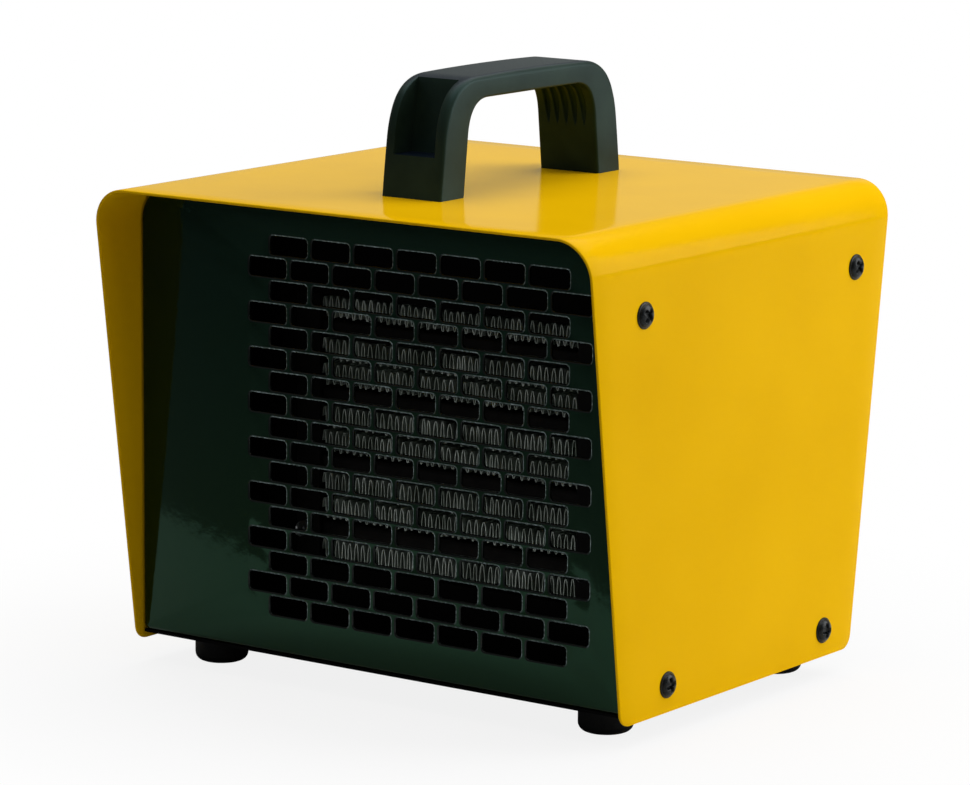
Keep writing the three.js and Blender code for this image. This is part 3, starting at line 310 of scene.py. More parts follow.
class Finish:
    """A surface finish: its node tree, one method for its nodes, and the shader's own values."""

    def __init__(self, owner):
        owner.use_nodes = True
        self.owner, self.tree = owner, owner.node_tree
        self.shader = self.tree.nodes.get("Principled BSDF")

    def node(self, kind, settings=None, sockets=None, output=0):
        made = self.tree.nodes.new(kind)
        for key, value in (settings or {}).items():
            setattr(made, key, value)
        for key, value in (sockets or {}).items():
            self.feed(made, key, value)
        return Pattern(self, made.outputs[output])

    def feed(self, node, key, value):
        if isinstance(value, Pattern):
            self.tree.links.new(value.socket, node.inputs[key])
        else:
            node.inputs[key].default_value = value

    def place(self, scale=(1, 1, 1)):
        """Object coordinates, stretched by one factor for each axis."""
        spot = self.node("ShaderNodeTexCoord", output="Object")
        return self.node("ShaderNodeMapping", None, {"Vector": spot, "Scale": scale})

    def part(self, vector, axis):
        """One of a vector's coordinates."""
        return self.node("ShaderNodeSeparateXYZ", None, {"Vector": vector}, output=axis)

    def facing(self):
        """The way that the surface faces, in object coordinates."""
        return self.node("ShaderNodeTexCoord", output="Normal")

    def noise(self, size, detail=2.0, rough=0.5, stretch=(1, 1, 1)):
        """Soft noise from 0 to 1 whose features are about `size` millimetres wide."""
        return self.node("ShaderNodeTexNoise", None, {
            "Vector": self.place(stretch), "Scale": 1 / (size * MM),
            "Detail": detail, "Roughness": rough})

    def spread(self, value, low, high, start, end):
        """Value's range low..high carried to start..end and clamped there."""
        return self.node("ShaderNodeMapRange", None, {
            "Value": value, "From Min": low, "From Max": high, "To Min": start, "To Max": end})

    def vary(self, noise, start, end):
        """A noise's usual range carried to start..end."""
        return self.spread(noise, 0.3, 0.7, start, end)

    def blend(self, factor, first, second):
        """Colour from first at factor 0 to second at factor 1."""
        return self.node("ShaderNodeMix", {"data_type": "RGBA"},
                         {0: factor, 6: first, 7: second}, output=2)

    def tones(self, noise, first, second, low=0.3, high=0.7):
        """Colour from first where the noise is below low to second where it is above high."""
        return self.blend(self.spread(noise, low, high, 0, 1), first, second)

    def relief(self, height, distance, strength=0.5, under=None):
        """Normal from a height pattern, `distance` millimetres deep."""
        sockets = {"Height": height, "Distance": distance * MM, "Strength": strength}
        if under is not None:
            sockets["Normal"] = under
        return self.node("ShaderNodeBump", None, sockets)

    def dress(self, **values):
        for key, value in values.items():
            self.feed(self.shader, key.replace("_", " "), value)
        return self.owner


def finish(name):
    return Finish(bpy.data.materials.new(name))


def yellow_paint():
    """Stoved gloss enamel: even colour, faint orange peel, slightly duller in soft patches."""
    f = finish("yellow_enamel")
    patches = f.noise(60, 2)
    swell = f.relief(f.noise(14, 1), 0.05)
    return f.dress(
        Base_Color=f.tones(patches, colour(229, 177, 2), colour(234, 182, 4)),
        Roughness=f.vary(patches, 0.11, 0.16),
        Normal=f.relief(f.noise(1.6, 2), 0.006, under=swell),
        Specular_IOR_Level=0.012)


def panel_paint():
    """Black powder coat with a gloss film and the fine skin of the powder. Its colour by height is
    a painted reflection of the surroundings, olive near the floor and bluish green high up, and the
    specular tint greens its reflections as well. The coat ripples more above the grille."""
    f = finish("black_powder_coat")
    skin = f.noise(1.1, 3, 0.6)
    swell = f.noise(3.4, 2)
    patches = f.noise(35, 3)
    level = f.part(f.place(), "Z")
    # painted reflection: this mask turns the colour from olive near the floor to bluish green
    # higher up
    height = f.spread(level + patches * 0.06, 0.07, 0.2, 0, 1)
    ripple = swell * f.spread(level, 0.19, 0.205, 1, 4)
    return f.dress(
        Base_Color=f.blend(height, colour(12, 22, 3), colour(7, 18, 14)),
        Roughness=f.vary(patches, 0.06, 0.1),
        Normal=f.relief(skin, 0.008, under=f.relief(ripple, 0.035, 1.0)),
        Specular_IOR_Level=0.4, Specular_Tint=(0.34, 1.0, 0.62, 1))


def slot_rim():
    """Punched rims of the slots, metallic and glossy. The parts of each rim that face down and to
    the left, on the upper and right-hand side of the slot, carry a painted highlight with painted
    glints from a fine noise; the parts that face up and to the right stay dark."""
    f = finish("slot_rim")
    wear_and_glints = f.noise(1.2, 3)
    facing = f.facing()
    # painted highlight: rims that face left and down are lightened, and a fine noise paints light
    # glints on them
    painted_rim_highlight = f.spread(0 - (f.part(facing, "X") * 1.5 + f.part(facing, "Z") * 0.8), -0.1, 0.8, 0, 1)
    painted_glints = f.tones(wear_and_glints, colour(92, 116, 108), colour(206, 226, 232), low=0.45)
    return f.dress(
        Base_Color=f.blend(painted_rim_highlight, colour(14, 22, 20), painted_glints), Metallic=0.55,
        Roughness=f.vary(wear_and_glints, 0.12, 0.26), Normal=f.relief(wear_and_glints, 0.01, 0.4))


def duct_black():
    """Matt near-black of the air duct and the base tray, with a little dust. It is a painted shade,
    so that what lies behind the grille reads as shadow.
    """
    f = finish("duct_black")
    dust = f.noise(7, 4)
    return f.dress(
        Base_Color=f.tones(dust, colour(2, 2, 2), colour(7, 7, 7), low=0.35),
        Roughness=f.vary(dust, 0.7, 0.9), Specular_IOR_Level=0.05)


def handle_plastic():
    """Glass-filled moulding with a fine spark-eroded grain. Faces that point up carry a painted
    reflection, dark blue, for the bluish sheen on the grip's top."""
    f = finish("moulded_black_plastic")
    grain = f.noise(0.45, 3, 0.7)
    moulded = f.tones(f.noise(18, 3), colour(18, 29, 22), colour(31, 45, 36))
    # painted reflection: faces that point up turn dark blue, for the bluish sheen on the grip's top
    painted_top_sheen = f.spread(f.part(f.facing(), "Z"), 0.75, 0.97, 0, 1)
    return f.dress(
        Base_Color=f.blend(painted_top_sheen, moulded, colour(3, 9, 24)),
        Roughness=f.vary(grain, 0.36, 0.48), Normal=f.relief(grain, 0.03),
        Specular_IOR_Level=0.19, Specular_Tint=(0.5, 0.95, 1.0, 1))


def black_screw():
    """Blackened steel with a waxy film; random specks are painted lighter and bluish as glints."""
    f = finish("blackened_steel")
    speck = f.noise(0.5, 3)
    # painted glints: random specks move towards a light bluish grey
    return f.dress(
        Base_Color=f.tones(speck, colour(9, 12, 12), colour(38, 46, 52), 0.5, 0.75), Metallic=0.6,
        Roughness=f.vary(speck, 0.24, 0.38), Normal=f.relief(speck, 0.02, 0.4))


def rubber():
    """Moulded rubber: matt, with a fine skin and a little dust."""
    f = finish("foot_rubber")
    skin = f.noise(0.7, 4, 0.6)
    return f.dress(
        Base_Color=f.tones(f.noise(6, 4), colour(4, 5, 5), colour(14, 14, 13), 0.5, 0.8),
        Roughness=f.vary(skin, 0.55, 0.8), Normal=f.relief(skin, 0.04), Specular_IOR_Level=0.2)


def zinc():
    """Bright zinc plate, rolled in one direction."""
    f = finish("zinc_plate")
    rolled = f.noise(1.2, 3, 0.6, (0.12, 1, 1))
    return f.dress(
        Base_Color=f.tones(rolled, colour(168, 172, 176), colour(205, 207, 206)), Metallic=1.0,
        Roughness=f.vary(rolled, 0.24, 0.4), Normal=f.relief(rolled, 0.008, 0.4))


def aluminium(name, dark, light):
    """Mill-finish aluminium, drawn in one direction, with the bloom that heat leaves on it."""
    f = finish(name)
    bloom = f.noise(9, 4)
    drawn = f.noise(0.8, 3, 0.6, (0.1, 1, 1))
    return f.dress(
        Base_Color=f.tones(bloom, dark, light, low=0.35), Metallic=0.85,
        Roughness=f.vary(drawn, 0.3, 0.5), Normal=f.relief(drawn, 0.01, 0.4))


def galvanised():
    """Hot-dip galvanised sheet: frost-like spangle of crystals about 6 mm wide."""
    f = finish("galvanised_sheet")
    cell = f.node("ShaderNodeTexVoronoi", None, {"Vector": f.place(), "Scale": 160.0},
                  output="Color")
    shade = f.node("ShaderNodeSeparateColor", None, {"Color": cell})
    return f.dress(
        Base_Color=f.blend(shade, colour(118, 124, 128), colour(160, 164, 166)), Metallic=0.9,
        Roughness=f.spread(shade, 0, 1, 0.34, 0.52), Normal=f.relief(f.noise(2, 2), 0.02, 0.3))


def lamination():
    """Stack of 0.5 mm steel sheets: fine lines across the motor's axis, with a little rust."""
    f = finish("lamination_stack")
    line = f.node("ShaderNodeTexWave", {"bands_direction": "Y"},
                  {"Vector": f.place(), "Scale": 300.0})
    rust = f.spread(f.noise(4, 4), 0.55, 0.8, 0, 1)
    return f.dress(
        Base_Color=f.blend(rust, colour(86, 88, 92), colour(98, 74, 56)), Metallic=0.7,
        Roughness=f.spread(rust, 0, 1, 0.42, 0.7), Normal=f.relief(line, 0.1, 0.6))


def winding():
    """Enamelled copper wire wound side by side."""
    f = finish("copper_winding")
    wire = f.node("ShaderNodeTexWave", {"bands_direction": "X"}, {
        "Vector": f.place(), "Scale": 260.0, "Distortion": 1.2, "Detail": 1.0})
    return f.dress(
        Base_Color=f.tones(wire, colour(96, 42, 16), colour(176, 92, 40), 0, 1), Metallic=0.5,
        Roughness=f.spread(wire, 0, 1, 0.5, 0.3), Normal=f.relief(wire, 0.25, 0.8))


def heat_moulding():
    """Dark glass-filled moulding that holds the core's ends."""
    f = finish("heat_moulding")
    fibre = f.noise(1.0, 4, 0.7, (0.4, 1, 1))
    return f.dress(
        Base_Color=f.tones(fibre, colour(4, 4, 3), colour(9, 8, 8), 0.35, 0.65),
        Roughness=f.vary(fibre, 0.5, 0.7), Normal=f.relief(fibre, 0.05), Specular_IOR_Level=0.1)


def pale_moulding():
    """Pale thermoset of the control bodies and the terminal strip."""
    f = finish("pale_moulding")
    cloud = f.noise(5, 4)
    return f.dress(
        Base_Color=f.tones(cloud, colour(206, 202, 188), colour(222, 218, 206), 0.35, 0.65),
        Roughness=f.vary(cloud, 0.4, 0.55), Normal=f.relief(cloud, 0.05, 0.3))


def dial_print():
    """White screen print, a little thin in places."""
    f = finish("white_print")
    thin = f.noise(0.6, 3)
    return f.dress(
        Base_Color=f.tones(thin, colour(232, 232, 228), colour(196, 198, 196), 0.55, 0.8),
        Roughness=f.vary(thin, 0.4, 0.55))


looks = {
    "yellow_paint": yellow_paint(),
    "black_panel": panel_paint(),
    "black_plastic": handle_plastic(),
    "black_screw": black_screw(),
    "rubber": rubber(),
    "zinc": zinc(),
    # painted shade: the core tubes get near-black tones because they sit in shadow behind the
    # grille
    "aluminium": aluminium("core_tube_aluminium_painted_shade", colour(7, 6, 6), colour(20, 18, 16)),
    "galvanised": galvanised(),
    "lamination": lamination(),
    "winding": winding(),
    "heat_moulding": heat_moulding(),
    "pale_moulding": pale_moulding(),
}
# painted shade: near-black for the air duct, which the base tray shares, so that what lies behind
# the grille reads as shadow
painted_shade_black = duct_black()
for part in frame["record"]["subparts"]:
    look = painted_shade_black if part["node"] in ("air_duct", "base_tray") else looks[part["material_slot"]]
    for place in frame["nodes"][part["node"]].material_slots:
        place.material = look
print_white = dial_print()
rim = slot_rim()
fin_metal = aluminium("fin_aluminium", colour(150, 162, 150), colour(226, 236, 228))


# ---------------------------------------------------------------- outer cover

def cover_section():
    """The cover's outer line from one lower edge over both bends to the other, as points and
    outward normals: straight, quarter circle, straight, quarter circle, straight."""
    corner_heights = COVER_CORNER * (1 - np.cos(np.linspace(0, np.pi / 2, 9)))
    heights = np.concatenate([corner_heights, [30, 90, 150, 170, 177.5]])
    across = np.array([104.5, 60, 20, 0])
    half = COVER_WIDTH / 2
    bend = arc(0, 90, 14)
    middle = np.array([half - COVER_BEND, COVER_HEIGHT - COVER_BEND])
    points = np.concatenate([
        np.stack([np.full(len(heights), half), heights], -1),
        middle + COVER_BEND * bend,
        np.stack([across, np.full(len(across), COVER_HEIGHT)], -1)])
    normals = np.concatenate([
        np.tile([1.0, 0], (len(heights), 1)), bend, np.tile([0, 1.0], (len(across), 1))])
    return [np.concatenate([half_line, half_line[-2::-1] * [-1, 1]])
            for half_line in (points, normals)]


def outer_cover():
    """Bent sheet: for each point of the section a closed strip runs from the front edge to the
    rear edge on the outside and back on the inside. Half the depth at height z is half the
    bottom depth plus slope times z, less what the circle of the lower corner takes away."""
    line, normal = cover_section()
    z = line[:, 1]
    low = np.clip(COVER_CORNER - z, 0, None)
    corner = np.sqrt(COVER_CORNER ** 2 - low ** 2) - COVER_CORNER
    reach = COVER_BOTTOM_DEPTH / 2 + COVER_SLOPE * z + corner
    edge = COVER_EDGE
    shares = np.array([-1, -0.9, -0.6, -0.2, 0.2, 0.6, 0.9, 1])
    turn = arc(90, 0, 3)

    def run(shares, rise):
        """From edge to edge, the first and last point drawn in by the edge's rounding."""
        return [(s, -edge * np.trunc(s), rise) for s in shares]

    # share of the half depth, shift along y and rise along the normal, round the strip
    strip = np.array(
        run(shares, 0.0)
        + [(1.0, edge * (c - 1), -edge * (1 - s)) for c, s in turn[1:]]
        + [(1.0, edge * (c - 1), edge * (1 - s) - SHEET) for c, s in turn[:0:-1]]
        + run(shares[-2::-1], -SHEET)
        + [(-1.0, edge * (1 - c), edge * (1 - s) - SHEET) for c, s in turn[1:]]
        + [(-1.0, edge * (1 - c), -edge * (1 - s)) for c, s in turn[::-1]])
    body = np.stack([
        line[:, :1] + normal[:, :1] * strip[:, 2],
        reach[:, None] * strip[:, 0] + strip[:, 1],
        line[:, 1:] + normal[:, 1:] * strip[:, 2] + FEET], -1)
    caps = []
    for row in (body[0], body[-1]):
        middle = row.copy()
        middle[:, 0] = np.sign(middle[:, 0]) * (COVER_WIDTH - SHEET) / 2
        caps.append(grid(np.stack([row, middle])))
    piece("cover_sheet", [grid(body), *caps], looks["yellow_paint"], "casing",
          ["outer_cover"])


# ---------------------------------------------------------------- slotted panels

def perimeter(inset):
    """Outline of a panel under the cover: wide turns at the top, tight ones at the bottom."""
    side, high, low = PANEL_HALF - PANEL_TURN, PANEL_HIGH - PANEL_TURN, PANEL_LOW + PANEL_FOOT_TURN
    low_side = PANEL_HALF - PANEL_FOOT_TURN
    corners = [(side, high, PANEL_TURN), (-side, high, PANEL_TURN),
               (-low_side, low, PANEL_FOOT_TURN), (low_side, low, PANEL_FOOT_TURN)]
    return np.concatenate([np.array([x, z]) + (radius - inset) * arc(90 * k, 90 * k + 90, 8)
                           for k, (x, z, radius) in enumerate(corners)])


def pressed_panel(name, node, holes, depths, where):
    """Pressed sheet pan with punched holes, in a frame with the face at depth 0 and the inside
    at positive depth. The rim bends back through a quarter circle into returns whose depth
    follows the edge's direction, and every hole's edge is a quarter of an ellipse. Each group of
    holes is (centres, size, corner radius), depths are those of the side, upper and lower
    returns, and where(x, depth, z) carries the pan's own coordinates into place."""
    outward = np.concatenate([arc(90 * k, 90 * k + 90, 8) for k in range(4)])
    side, top, bottom = depths
    upright = np.where(outward[:, 1] > 0, top, bottom)
    reach = side * outward[:, 0] ** 2 + upright * outward[:, 1] ** 2
    level = np.ones_like(reach)
    inner_bend = PANEL_BEND - SHEET
    rings = [(PANEL_BEND * (1 - s), PANEL_BEND * (1 - c) * level) for c, s in arc(0, 90, 5)]
    rings += [(0.0, reach), (SHEET, reach)]
    rings += [(PANEL_BEND - inner_bend * s, (PANEL_BEND - inner_bend * c) * level)
              for c, s in arc(90, 0, 4)]
    lines = [(perimeter(inset), depth) for inset, depth in rings]
    body = np.stack([where(line[:, 0], depth, line[:, 1]) for line, depth in lines])
    parts = [grid(np.concatenate([body, body[:, :1]], 1))]
    for depth, grow in ((0.0, RIM_GROW), (SHEET, 0.0)):
        loops = [loop for group in holes for loop in rounded_loops(*group, grow)]
        points, triangles = filled(perimeter(PANEL_BEND), loops)
        parts.append((where(points[:, 0], np.full(len(points), depth), points[:, 1]), triangles))
    levels = [(RIM_GROW * (1 - s), RIM_SINK * (1 - c)) for c, s in arc(0, 90, 5)] + [(0.0, SHEET)]
    for group in holes:
        wall = np.stack([rounded_loops(*group, grow) for grow, _ in levels], 1)
        deep = np.array([depth for _, depth in levels])[None, :, None]
        placed = where(wall[..., 0], np.broadcast_to(deep, wall.shape[:-1]), wall[..., 1])
        closed = np.concatenate([placed, placed[:, :, :1]], 2)
        parts.extend((*grid(one), 1) for one in closed)
    piece(name, parts, [looks["black_panel"], rim], "casing", [node])


def brick_rows():
    """Slot centres in rows that alternate between one slot fewer and the full count."""
    centres = []
    for row in range(SLOT_ROWS):
        count = SLOT_COLUMNS - 1 if row % 2 == 0 else SLOT_COLUMNS
        across = GRILLE_X + (np.arange(count) - (count - 1) / 2) * SLOT_PITCH[0]
        up = GRILLE_Z + (row - (SLOT_ROWS - 1) / 2) * SLOT_PITCH[1]
        centres.append(np.stack([across, np.full(count, up)], -1))
    return np.concatenate(centres)


def front_panel():
    """Upright pan, its face at the front."""
    def where(x, depth, z):
        return np.stack([x, PANEL_FACE + depth, z], -1)

    pressed_panel("front_sheet", "front_panel", [(brick_rows(), SLOT, SLOT_TURN)], (20, 12, 30),
                  where)


def rear_place(x, out, up):
    """From the sloping rear panel's own frame (across, outwards, up along it) into place."""
    return np.stack([x, REAR_FACE + out * math.cos(TILT) + up * math.sin(TILT),
                     FEET - out * math.sin(TILT) + up * math.cos(TILT)], -1)


def rear_panel():
    """Pan sheared along the slope, so that its returns stay level."""
    def where(x, depth, z):
        return np.stack([x, REAR_FACE + COVER_SLOPE * (z - FEET) - depth, z], -1)

    def centres(*ups):
        return [[CONTROL_X, FEET + up * math.cos(TILT)] for up in ups]

    row, column = np.meshgrid(np.arange(INTAKE_ROWS) - (INTAKE_ROWS - 1) / 2, [-0.5, 0.5],
                              indexing="ij")
    rise = SLOT_PITCH[1] * math.cos(TILT)
    intake = np.stack([AIR_X + column.ravel() * INTAKE_PITCH, CORE_Z + row.ravel() * rise], -1)
    holes = [(intake, INTAKE_SLOT, INTAKE_TURN),
             (centres(THERMOSTAT_UP, SELECTOR_UP), (CONTROL_HOLE, CONTROL_HOLE), CONTROL_HOLE / 2),
             (centres(GLAND_UP), (GLAND_HOLE, GLAND_HOLE), GLAND_HOLE / 2)]
    pressed_panel("rear_sheet", "rear_panel", holes, (18, 12, 14), where)


# ---------------------------------------------------------------- carrying handle

LEG_STEPS = 5                    # stations from the handle's base to the pocket's lower end


def handle_lines():
    """Side view of the arch as matching points of its outer and inner lines, from one base to
    the other: straight leaning legs, knees that are quadratic curves, and a grip with a slight
    crown. Columns are y and the height above the cover."""
    leg = np.concatenate([np.linspace(0, POCKET_LOW, LEG_STEPS + 1),
                          np.linspace(POCKET_LOW, KNEE_START, 9)])[:, None] / KNEE_START
    t = np.linspace(0, 1, 25)[1:, None]
    grip = np.linspace(1, 0, 15)[1:, None]
    lines = []
    for corners in (OUTER_LINE, INNER_LINE):
        base, start, knee, end, crown = (np.array(corner, float) for corner in corners)
        bow = (1 - t) ** 2 * start + 2 * t * (1 - t) * knee + t ** 2 * end
        top = np.concatenate(
            [end[0] * grip, end[1] + (crown[1] - end[1]) * (1 - grip ** 2)], 1)
        half = np.concatenate([base + (start - base) * leg, bow, top])
        lines.append(np.concatenate([half * [-1, 1], half[-2::-1]]))
    return lines


def handle():
    """Moulded arch carried along its side view: each section runs across the underside with its
    finger flutes, round one side, across the outside with the pocket, and round the other.
    A flute is as deep as the root of (run-in less the squared offset from its middle), so its
    end is pointed. The pocket reaches down to a plane that leans with height."""
    outer, inner = handle_lines()
    spine = outer - inner
    outwards = spine / np.linalg.norm(spine, axis=1, keepdims=True)
    outer_edge = np.interp(outer[:, 1], OUTER_EDGE_AT, OUTER_EDGES)

    side = HANDLE_HALF - INNER_EDGE
    across = np.linspace(-side, side, 133)
    half_span = FLUTE_COUNT * FLUTE_PITCH / 2
    offset = (across + half_span) % FLUTE_PITCH - FLUTE_PITCH / 2
    run_in = np.clip((inner[:, 1] - FLUTE_START) / FLUTE_RUN_IN, 0, 1)
    flute = np.sqrt(np.clip(run_in[:, None] - (offset[None, :] / FLUTE_HALF) ** 2, 0, 1))
    flute = flute * (abs(across) < half_span)
    under = inner[:, None, :] + outwards[:, None, :] * (FLUTE_DEPTH * flute[:, :, None])
    rows = np.concatenate([np.repeat(across[None, :, None], len(inner), 0), under], -1)

    def corner(line, sign, radius, first, last, direction):
        """Rounded edge along a line of the side view, on the side that sign tells."""
        turn = arc(first, last, 6)
        radius = (radius + np.zeros(len(line)))[:, None]
        x = sign * (HANDLE_HALF - radius + radius * turn[None, :, 0])
        sink = direction * radius * (1 - turn[None, :, 1])
        at = line[:, None, :] + outwards[:, None, :] * sink[:, :, None]
        return np.concatenate([x[:, :, None], at], -1)

    reach = abs(outer[:, 0]) + POCKET_LEAN * (outer[:, 1] - POCKET_LOW) - POCKET_DEEP
    depth = np.clip(reach / (abs(outwards[:, 0]) + POCKET_LEAN * outwards[:, 1]), 0, None)
    depth[:LEG_STEPS + 1] = 0
    depth[-LEG_STEPS - 1:] = 0
    pocket_x = HANDLE_HALF - POCKET_WALL
    floor_x = pocket_x - 0.01
    floor_line = outer - outwards * depth[:, None]
    lips = [(pocket_x + POCKET_LIP * (1 - c),
             outer - outwards * np.minimum(POCKET_LIP * (1 - s), depth)[:, None])
            for c, s in arc(90, 0, 3)]
    section = [(-x, line) for x, line in lips]
    section += [(x, floor_line) for x in (-floor_x, -pocket_x / 2, 0, pocket_x / 2, floor_x)]
    section += lips[::-1]
    top = np.stack([np.concatenate([np.full((len(line), 1), x), line], -1)
                    for x, line in section], 1)

    body = np.concatenate([
        rows,
        corner(inner, 1, INNER_EDGE, 90, 0, 1), corner(outer, 1, outer_edge, 0, 90, -1),
        top[:, ::-1],
        corner(outer, -1, outer_edge, 90, 0, -1), corner(inner, -1, INNER_EDGE, 0, 90, 1),
        rows[:, :1]], 1)
    place = np.array([0, HANDLE_Y, FEET + COVER_HEIGHT])
    parts = [(points + place, faces) for points, faces in [grid(body), *end_caps(body)]]
    piece("handle_moulding", parts, looks["black_plastic"], "casing", ["handle"])


# ---------------------------------------------------------------- screws and feet

def cover_screw(name, sign, y, z, twist):
    """Domed head on a flange with a cross recess: the dome's height falls off as an ellipse, and
    each arm of the cross is a tapered groove that runs out before the rim."""
    dome = np.concatenate([np.linspace(0, 3.4, 19), np.linspace(3.6, 4.6, 6), [4.75, SCREW_RADIUS]])
    rise = SCREW_RIM + SCREW_DOME * np.sqrt(np.clip(1 - (dome / SCREW_RADIUS) ** 2.4, 0, 1))
    flange = np.array([(4.9, 0.65), (5.3, 0.6), (5.45, 0.4), (5.45, 0), (2, 0), (2, -8), (0, -8)])
    angle = np.linspace(0, 2 * np.pi, 97)
    arm = np.minimum(abs(dome[:, None] * np.cos(angle)), abs(dome[:, None] * np.sin(angle)))
    across_arm = np.clip((CROSS_HALF - arm) / 0.5, 0, 1)
    along_arm = np.clip((CROSS_REACH - dome[:, None]) / 0.9, 0, 1)
    top = np.concatenate([rise[:, None] - CROSS_DEPTH * across_arm * along_arm,
                          np.repeat(flange[:, 1:], len(angle), 1)])
    radius = np.concatenate([dome, flange[:, 0]])[:, None]
    body = np.stack([sign * (COVER_WIDTH / 2 + top),
                     y + sign * radius * np.cos(angle + twist),
                     FEET + z + radius * np.sin(angle + twist)], -1)
    piece(name + "_head", [grid(body)], looks["black_screw"], "casing", [name],
          sharp=40)


def screws():
    """Four screws on each side, each driven home at another angle."""
    for k, (end, inset) in enumerate(SCREW_INSETS.items()):
        for level, z in SCREW_HEIGHTS.items():
            edge = COVER_BOTTOM_DEPTH / 2 + COVER_SLOPE * z - inset
            y = -edge if end == "front" else edge
            for sign, side in ((-1, "left"), (1, "right")):
                cover_screw(f"cover_screw_{side}_{end}_{level}", sign, y, z,
                            0.5 + 1.3 * k + z / 40 + sign)


def feet():
    """Turned rubber buffers with a rounded lower edge and a recess for the screw."""
    top, low = TRAY_RISE, -FEET
    ceiling = low + FOOT_RECESS_DEPTH
    rounding = [(FOOT_RADIUS - FOOT_EDGE * (1 - s), low + FOOT_EDGE * (1 - c))
                for c, s in arc(0, 90, 6)]
    profile = [(FOOT_BORE, ceiling), (FOOT_RECESS, ceiling), (FOOT_RECESS, low), *rounding,
               (FOOT_RADIUS, top - 0.4), (FOOT_RADIUS - 0.3, top), (FOOT_BORE, top),
               (FOOT_BORE, ceiling)]
    for side, x in (("left", -FOOT_X), ("right", FOOT_X)):
        for end, y in FOOT_ENDS.items():
            body = turned(profile) + np.array([x, y, FEET])
            name = f"foot_{side}_{end}"
            piece(name + "_rubber", [grid(body)], looks["rubber"], "casing", [name])


# ---------------------------------------------------------------- heating core

def fin_strip(number):
    """Corrugated strip: its middle line rises as asin(steepness sin t) and moves along as
    t - 0.4 sin 2t, so the flanks stand almost upright between round turns. The pitch wanders
    slowly, and each turn reaches a little more or less far."""
    name = f"fin_strip_{number}"
    low, high = (np.array(corner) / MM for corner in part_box(name))
    length, height = high[0] - low[0], high[2] - low[2]
    t = np.linspace(0, FIN_WAVES * 2 * np.pi, FIN_WAVES * 14 + 1)
    wave = np.arcsin(FIN_STEEPNESS * np.sin(t)) / math.asin(FIN_STEEPNESS)
    uneven = 0.93 + 0.07 * np.sin(t * 0.37 + 2 * number)
    z = (low[2] + high[2]) / 2 + wave * uneven * (height / 2 - 0.15)
    wander = 0.7 * np.sin(t * 0.113 + number) + 0.3 * np.sin(t * 0.41)
    x = low[0] + length * (t - 0.4 * np.sin(2 * t)) / t[-1] + wander * np.sin(np.pi * t / t[-1])
    line = np.stack([x, z], -1)
    tangent = np.gradient(line, axis=0)
    normal = np.stack([-tangent[:, 1], tangent[:, 0]], -1)
    normal = normal / np.linalg.norm(normal, axis=1, keepdims=True)
    half = FIN_HALF_THICKNESS
    corners = [(half, low[1]), (half, high[1]), (-half, high[1]), (-half, low[1])]
    loops = []
    for offset, y in corners + corners[:1]:
        at = line + normal * offset
        up = np.clip(at[:, 1], low[2], high[2])
        loops.append(np.stack([at[:, 0], np.full(len(at), y), up], -1))
    body = np.stack(loops, 1)
    caps = [grid(np.stack([row, np.broadcast_to(row[:4].mean(0), row.shape)]))
            for row in (body[0], body[-1])]
    piece(f"fin_fold_{number}", [grid(body), *caps], fin_metal, "casing", [name],
          sharp=50)


# ---------------------------------------------------------------- rear controls

def onto_panel(body, up):
    """A body made about +Z, turned so that +Z points out of the sloping rear panel."""
    return rear_place(CONTROL_X + body[..., 0], body[..., 2], up - body[..., 1])


def knob(kind, up):
    """Round knob: a skirt with a rounded rim, a fluted grip whose radius waves 14 times, and a
    printed pointer on its face."""
    profile = fillet([(0, 1), (18.8, 1), (18.8, 6.2), (14.6, 7.6), (13.9, 15.6), (0, 16)], 1.2, 4)

    def flutes(angle, radius, height):
        grip = np.clip((height - 7.4) / 1.5, 0, 1) * np.clip((16.2 - height) / 1.2, 0, 1)
        return radius - 0.55 * grip * (radius > 10) * (1 - np.abs(np.cos(7 * angle)) ** 0.6)

    body = turned(profile, 168, flutes)
    piece(f"{kind}_grip", [grid(onto_panel(body, up))], looks["black_plastic"], kind,
          [f"{kind}_knob"], sharp=40)
    pointer = rounded_loops([[0, -7.6]], (1.3, 3.4), 0.5)[0]
    low, high = (np.concatenate([pointer, np.full((len(pointer), 1), h)], 1)
                 for h in (15.9, 16.08))
    stack = np.stack([np.broadcast_to(low.mean(0), low.shape), low,
                      high, np.broadcast_to(high.mean(0), high.shape)])
    stack = np.concatenate([stack, stack[:, :1]], 1)
    piece(f"{kind}_pointer", [grid(onto_panel(stack, up))], print_white, kind)


def dial(kind, up, marks):
    """Plain numbers printed on the panel round a knob, clockwise seen from behind."""
    for k, mark in enumerate(marks):
        angle = math.radians(k * MARK_STEP)
        x, v = -DIAL_RADIUS * math.sin(angle), DIAL_RADIUS * math.cos(angle)
        curve = bpy.data.curves.new(f"{kind}_mark_{k}", "FONT")
        curve.body, curve.size, curve.extrude = mark, DIGIT_HEIGHT * MM, 0.03 * MM
        curve.align_x, curve.align_y = "CENTER", "CENTER"
        text = bpy.data.objects.new(f"{kind}_mark_{k}", curve)
        bpy.context.scene.collection.objects.link(text)
        bpy.context.view_layer.update()
        solid = text.evaluated_get(bpy.context.evaluated_depsgraph_get())
        mesh = bpy.data.meshes.new_from_object(solid)
        bpy.data.objects.remove(text)
        flat = np.zeros(len(mesh.vertices) * 3)
        mesh.vertices.foreach_get("co", flat)
        flat = flat.reshape(-1, 3) / MM
        placed = rear_place(CONTROL_X + x - flat[:, 0], 0.05 + flat[:, 2], up + v + flat[:, 1])
        mesh.vertices.foreach_set("co", (placed * MM).ravel())
        mesh.materials.clear()
        mesh.materials.append(print_white)
        made = bpy.data.objects.new(f"{kind}_number_{k}", mesh)
        bpy.context.scene.collection.objects.link(made)
        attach(made, "casing")


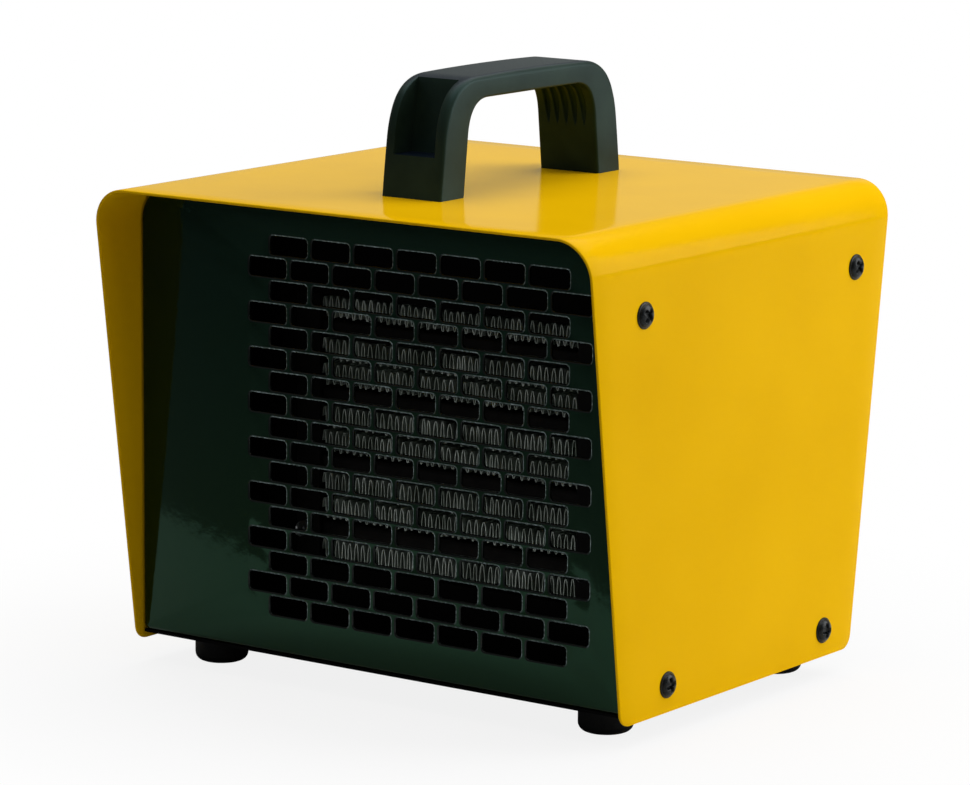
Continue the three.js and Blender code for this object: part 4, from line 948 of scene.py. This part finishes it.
def gland():
    """Cord gland without a cord: hexagon at the panel, ribbed dome nut, open bore."""
    profile = [(4, -7.5), (7.9, -7.5), (7.9, 0.3), (11.2, 0.35), (11.4, 0.6), (11.4, 5),
               (11.1, 5.3), (8.2, 5.4), (8.2, 6), (9, 6.3), (9, 12.4), (8.4, 14), (6.6, 15.4),
               (4.4, 16), (4, 15.7), (4, -7.5)]

    def sides(angle, radius, height):
        sixth = np.pi / 6
        hexagon = 10.0 / np.cos((angle + sixth) % (2 * sixth) - sixth)
        flats = (height > 0.32) & (height < 5.35) & (radius > 10)
        ribs = (height > 6.2) & (height < 13) & (radius > 8.5)
        ribbing = np.where(ribs, 0.3 * np.cos(18 * angle) - 0.3, 0)
        return np.where(flats, np.minimum(radius, hexagon), radius) + ribbing

    body = turned(profile, 144, sides)
    piece("gland_body", [grid(onto_panel(body, GLAND_UP))], looks["black_plastic"], "casing",
          ["cable_gland"], sharp=35)


# ---------------------------------------------------------------- studio

def lamp(name, place, aim, size, power, tint=(1, 1, 1)):
    """Rectangular soft lamp that the camera doesn't see, in metres and watts."""
    data = bpy.data.lights.new(name, "AREA")
    data.shape, data.energy, data.color = "RECTANGLE", power, tint
    data.size, data.size_y = size
    made = bpy.data.objects.new(name, data)
    made.location = place
    made.rotation_euler = (Vector(aim) - Vector(place)).to_track_quat("-Z", "Y").to_euler()
    made.visible_camera = False
    bpy.context.scene.collection.objects.link(made)


def studio_floor():
    """Plain pale floor. To the camera it is white and keeps a light share of the object's shadow;
    its bounce on the object is that of a duller floor, dullest in front."""
    half = 4.0
    mesh = bpy.data.meshes.new("studio_floor")
    corners = [(-half, -half, 0), (half, -half, 0), (half, half, 0), (-half, half, 0)]
    mesh.from_pydata(corners, [], [(0, 1, 2, 3)])
    f = finish("pale_floor")
    spot = f.node("ShaderNodeTexCoord", output="Object")
    behind = f.spread(f.part(spot, "Y"), -0.31, -0.29, 0, 1)
    f.dress(Base_Color=f.blend(behind, (0.2, 0.2, 0.2, 1), (0.72, 0.72, 0.72, 1)),
            Roughness=0.9, Specular_IOR_Level=0.0)
    white = f.node("ShaderNodeEmission", None, {"Color": (1, 1, 1, 1), "Strength": 1.0})
    seen = f.node("ShaderNodeLightPath", output="Is Camera Ray")
    away = f.node("ShaderNodeVectorMath", {"operation": "LENGTH"}, {0: spot}, output="Value")
    share = seen * f.spread(away, 0.13, 0.32, 0.86, 1.0)
    lit = Pattern(f, f.shader.outputs[0])
    mixed = f.node("ShaderNodeMixShader", None, {0: share, 1: lit, 2: white})
    f.feed(f.tree.nodes["Material Output"], "Surface", mixed)
    mesh.materials.append(f.owner)
    ground = bpy.data.objects.new("studio_floor", mesh)
    bpy.context.scene.collection.objects.link(ground)


def studio():
    """Floor, white surroundings that light the object only softly, and three lamps."""
    studio_floor()
    world = bpy.data.worlds.new("studio_world")
    bpy.context.scene.world = world
    w = Finish(world)
    seen = w.node("ShaderNodeLightPath", output="Is Camera Ray")
    background = w.tree.nodes["Background"]
    w.feed(background, "Color", (1, 1, 1, 1))
    w.feed(background, "Strength", seen * (1 - SOFT_LIGHT) + SOFT_LIGHT)
    lamp("overhead", (0.15, 0.4, 1.7), (0, 0, 0.1), (2.4, 2.2), 35)
    lamp("right_fill", (1.45, 1.2, 0.75), (0, 0, 0.1), (1.2, 1.2), 20.5)
    lamp("rear_card", (-1.3, 2.0, 0.55), (0, 0, 0.2), (2.6, 1.0), 2.4, (0.85, 1.0, 0.8))
    bpy.context.scene.view_settings.view_transform = "Standard"


outer_cover()
front_panel()
rear_panel()
handle()
screws()
feet()
for strip in range(1, 9):
    fin_strip(strip)
knob("thermostat", THERMOSTAT_UP)
knob("selector", SELECTOR_UP)
dial("thermostat", THERMOSTAT_UP, "0123456")
dial("selector", SELECTOR_UP, "0123")
gland()
studio()
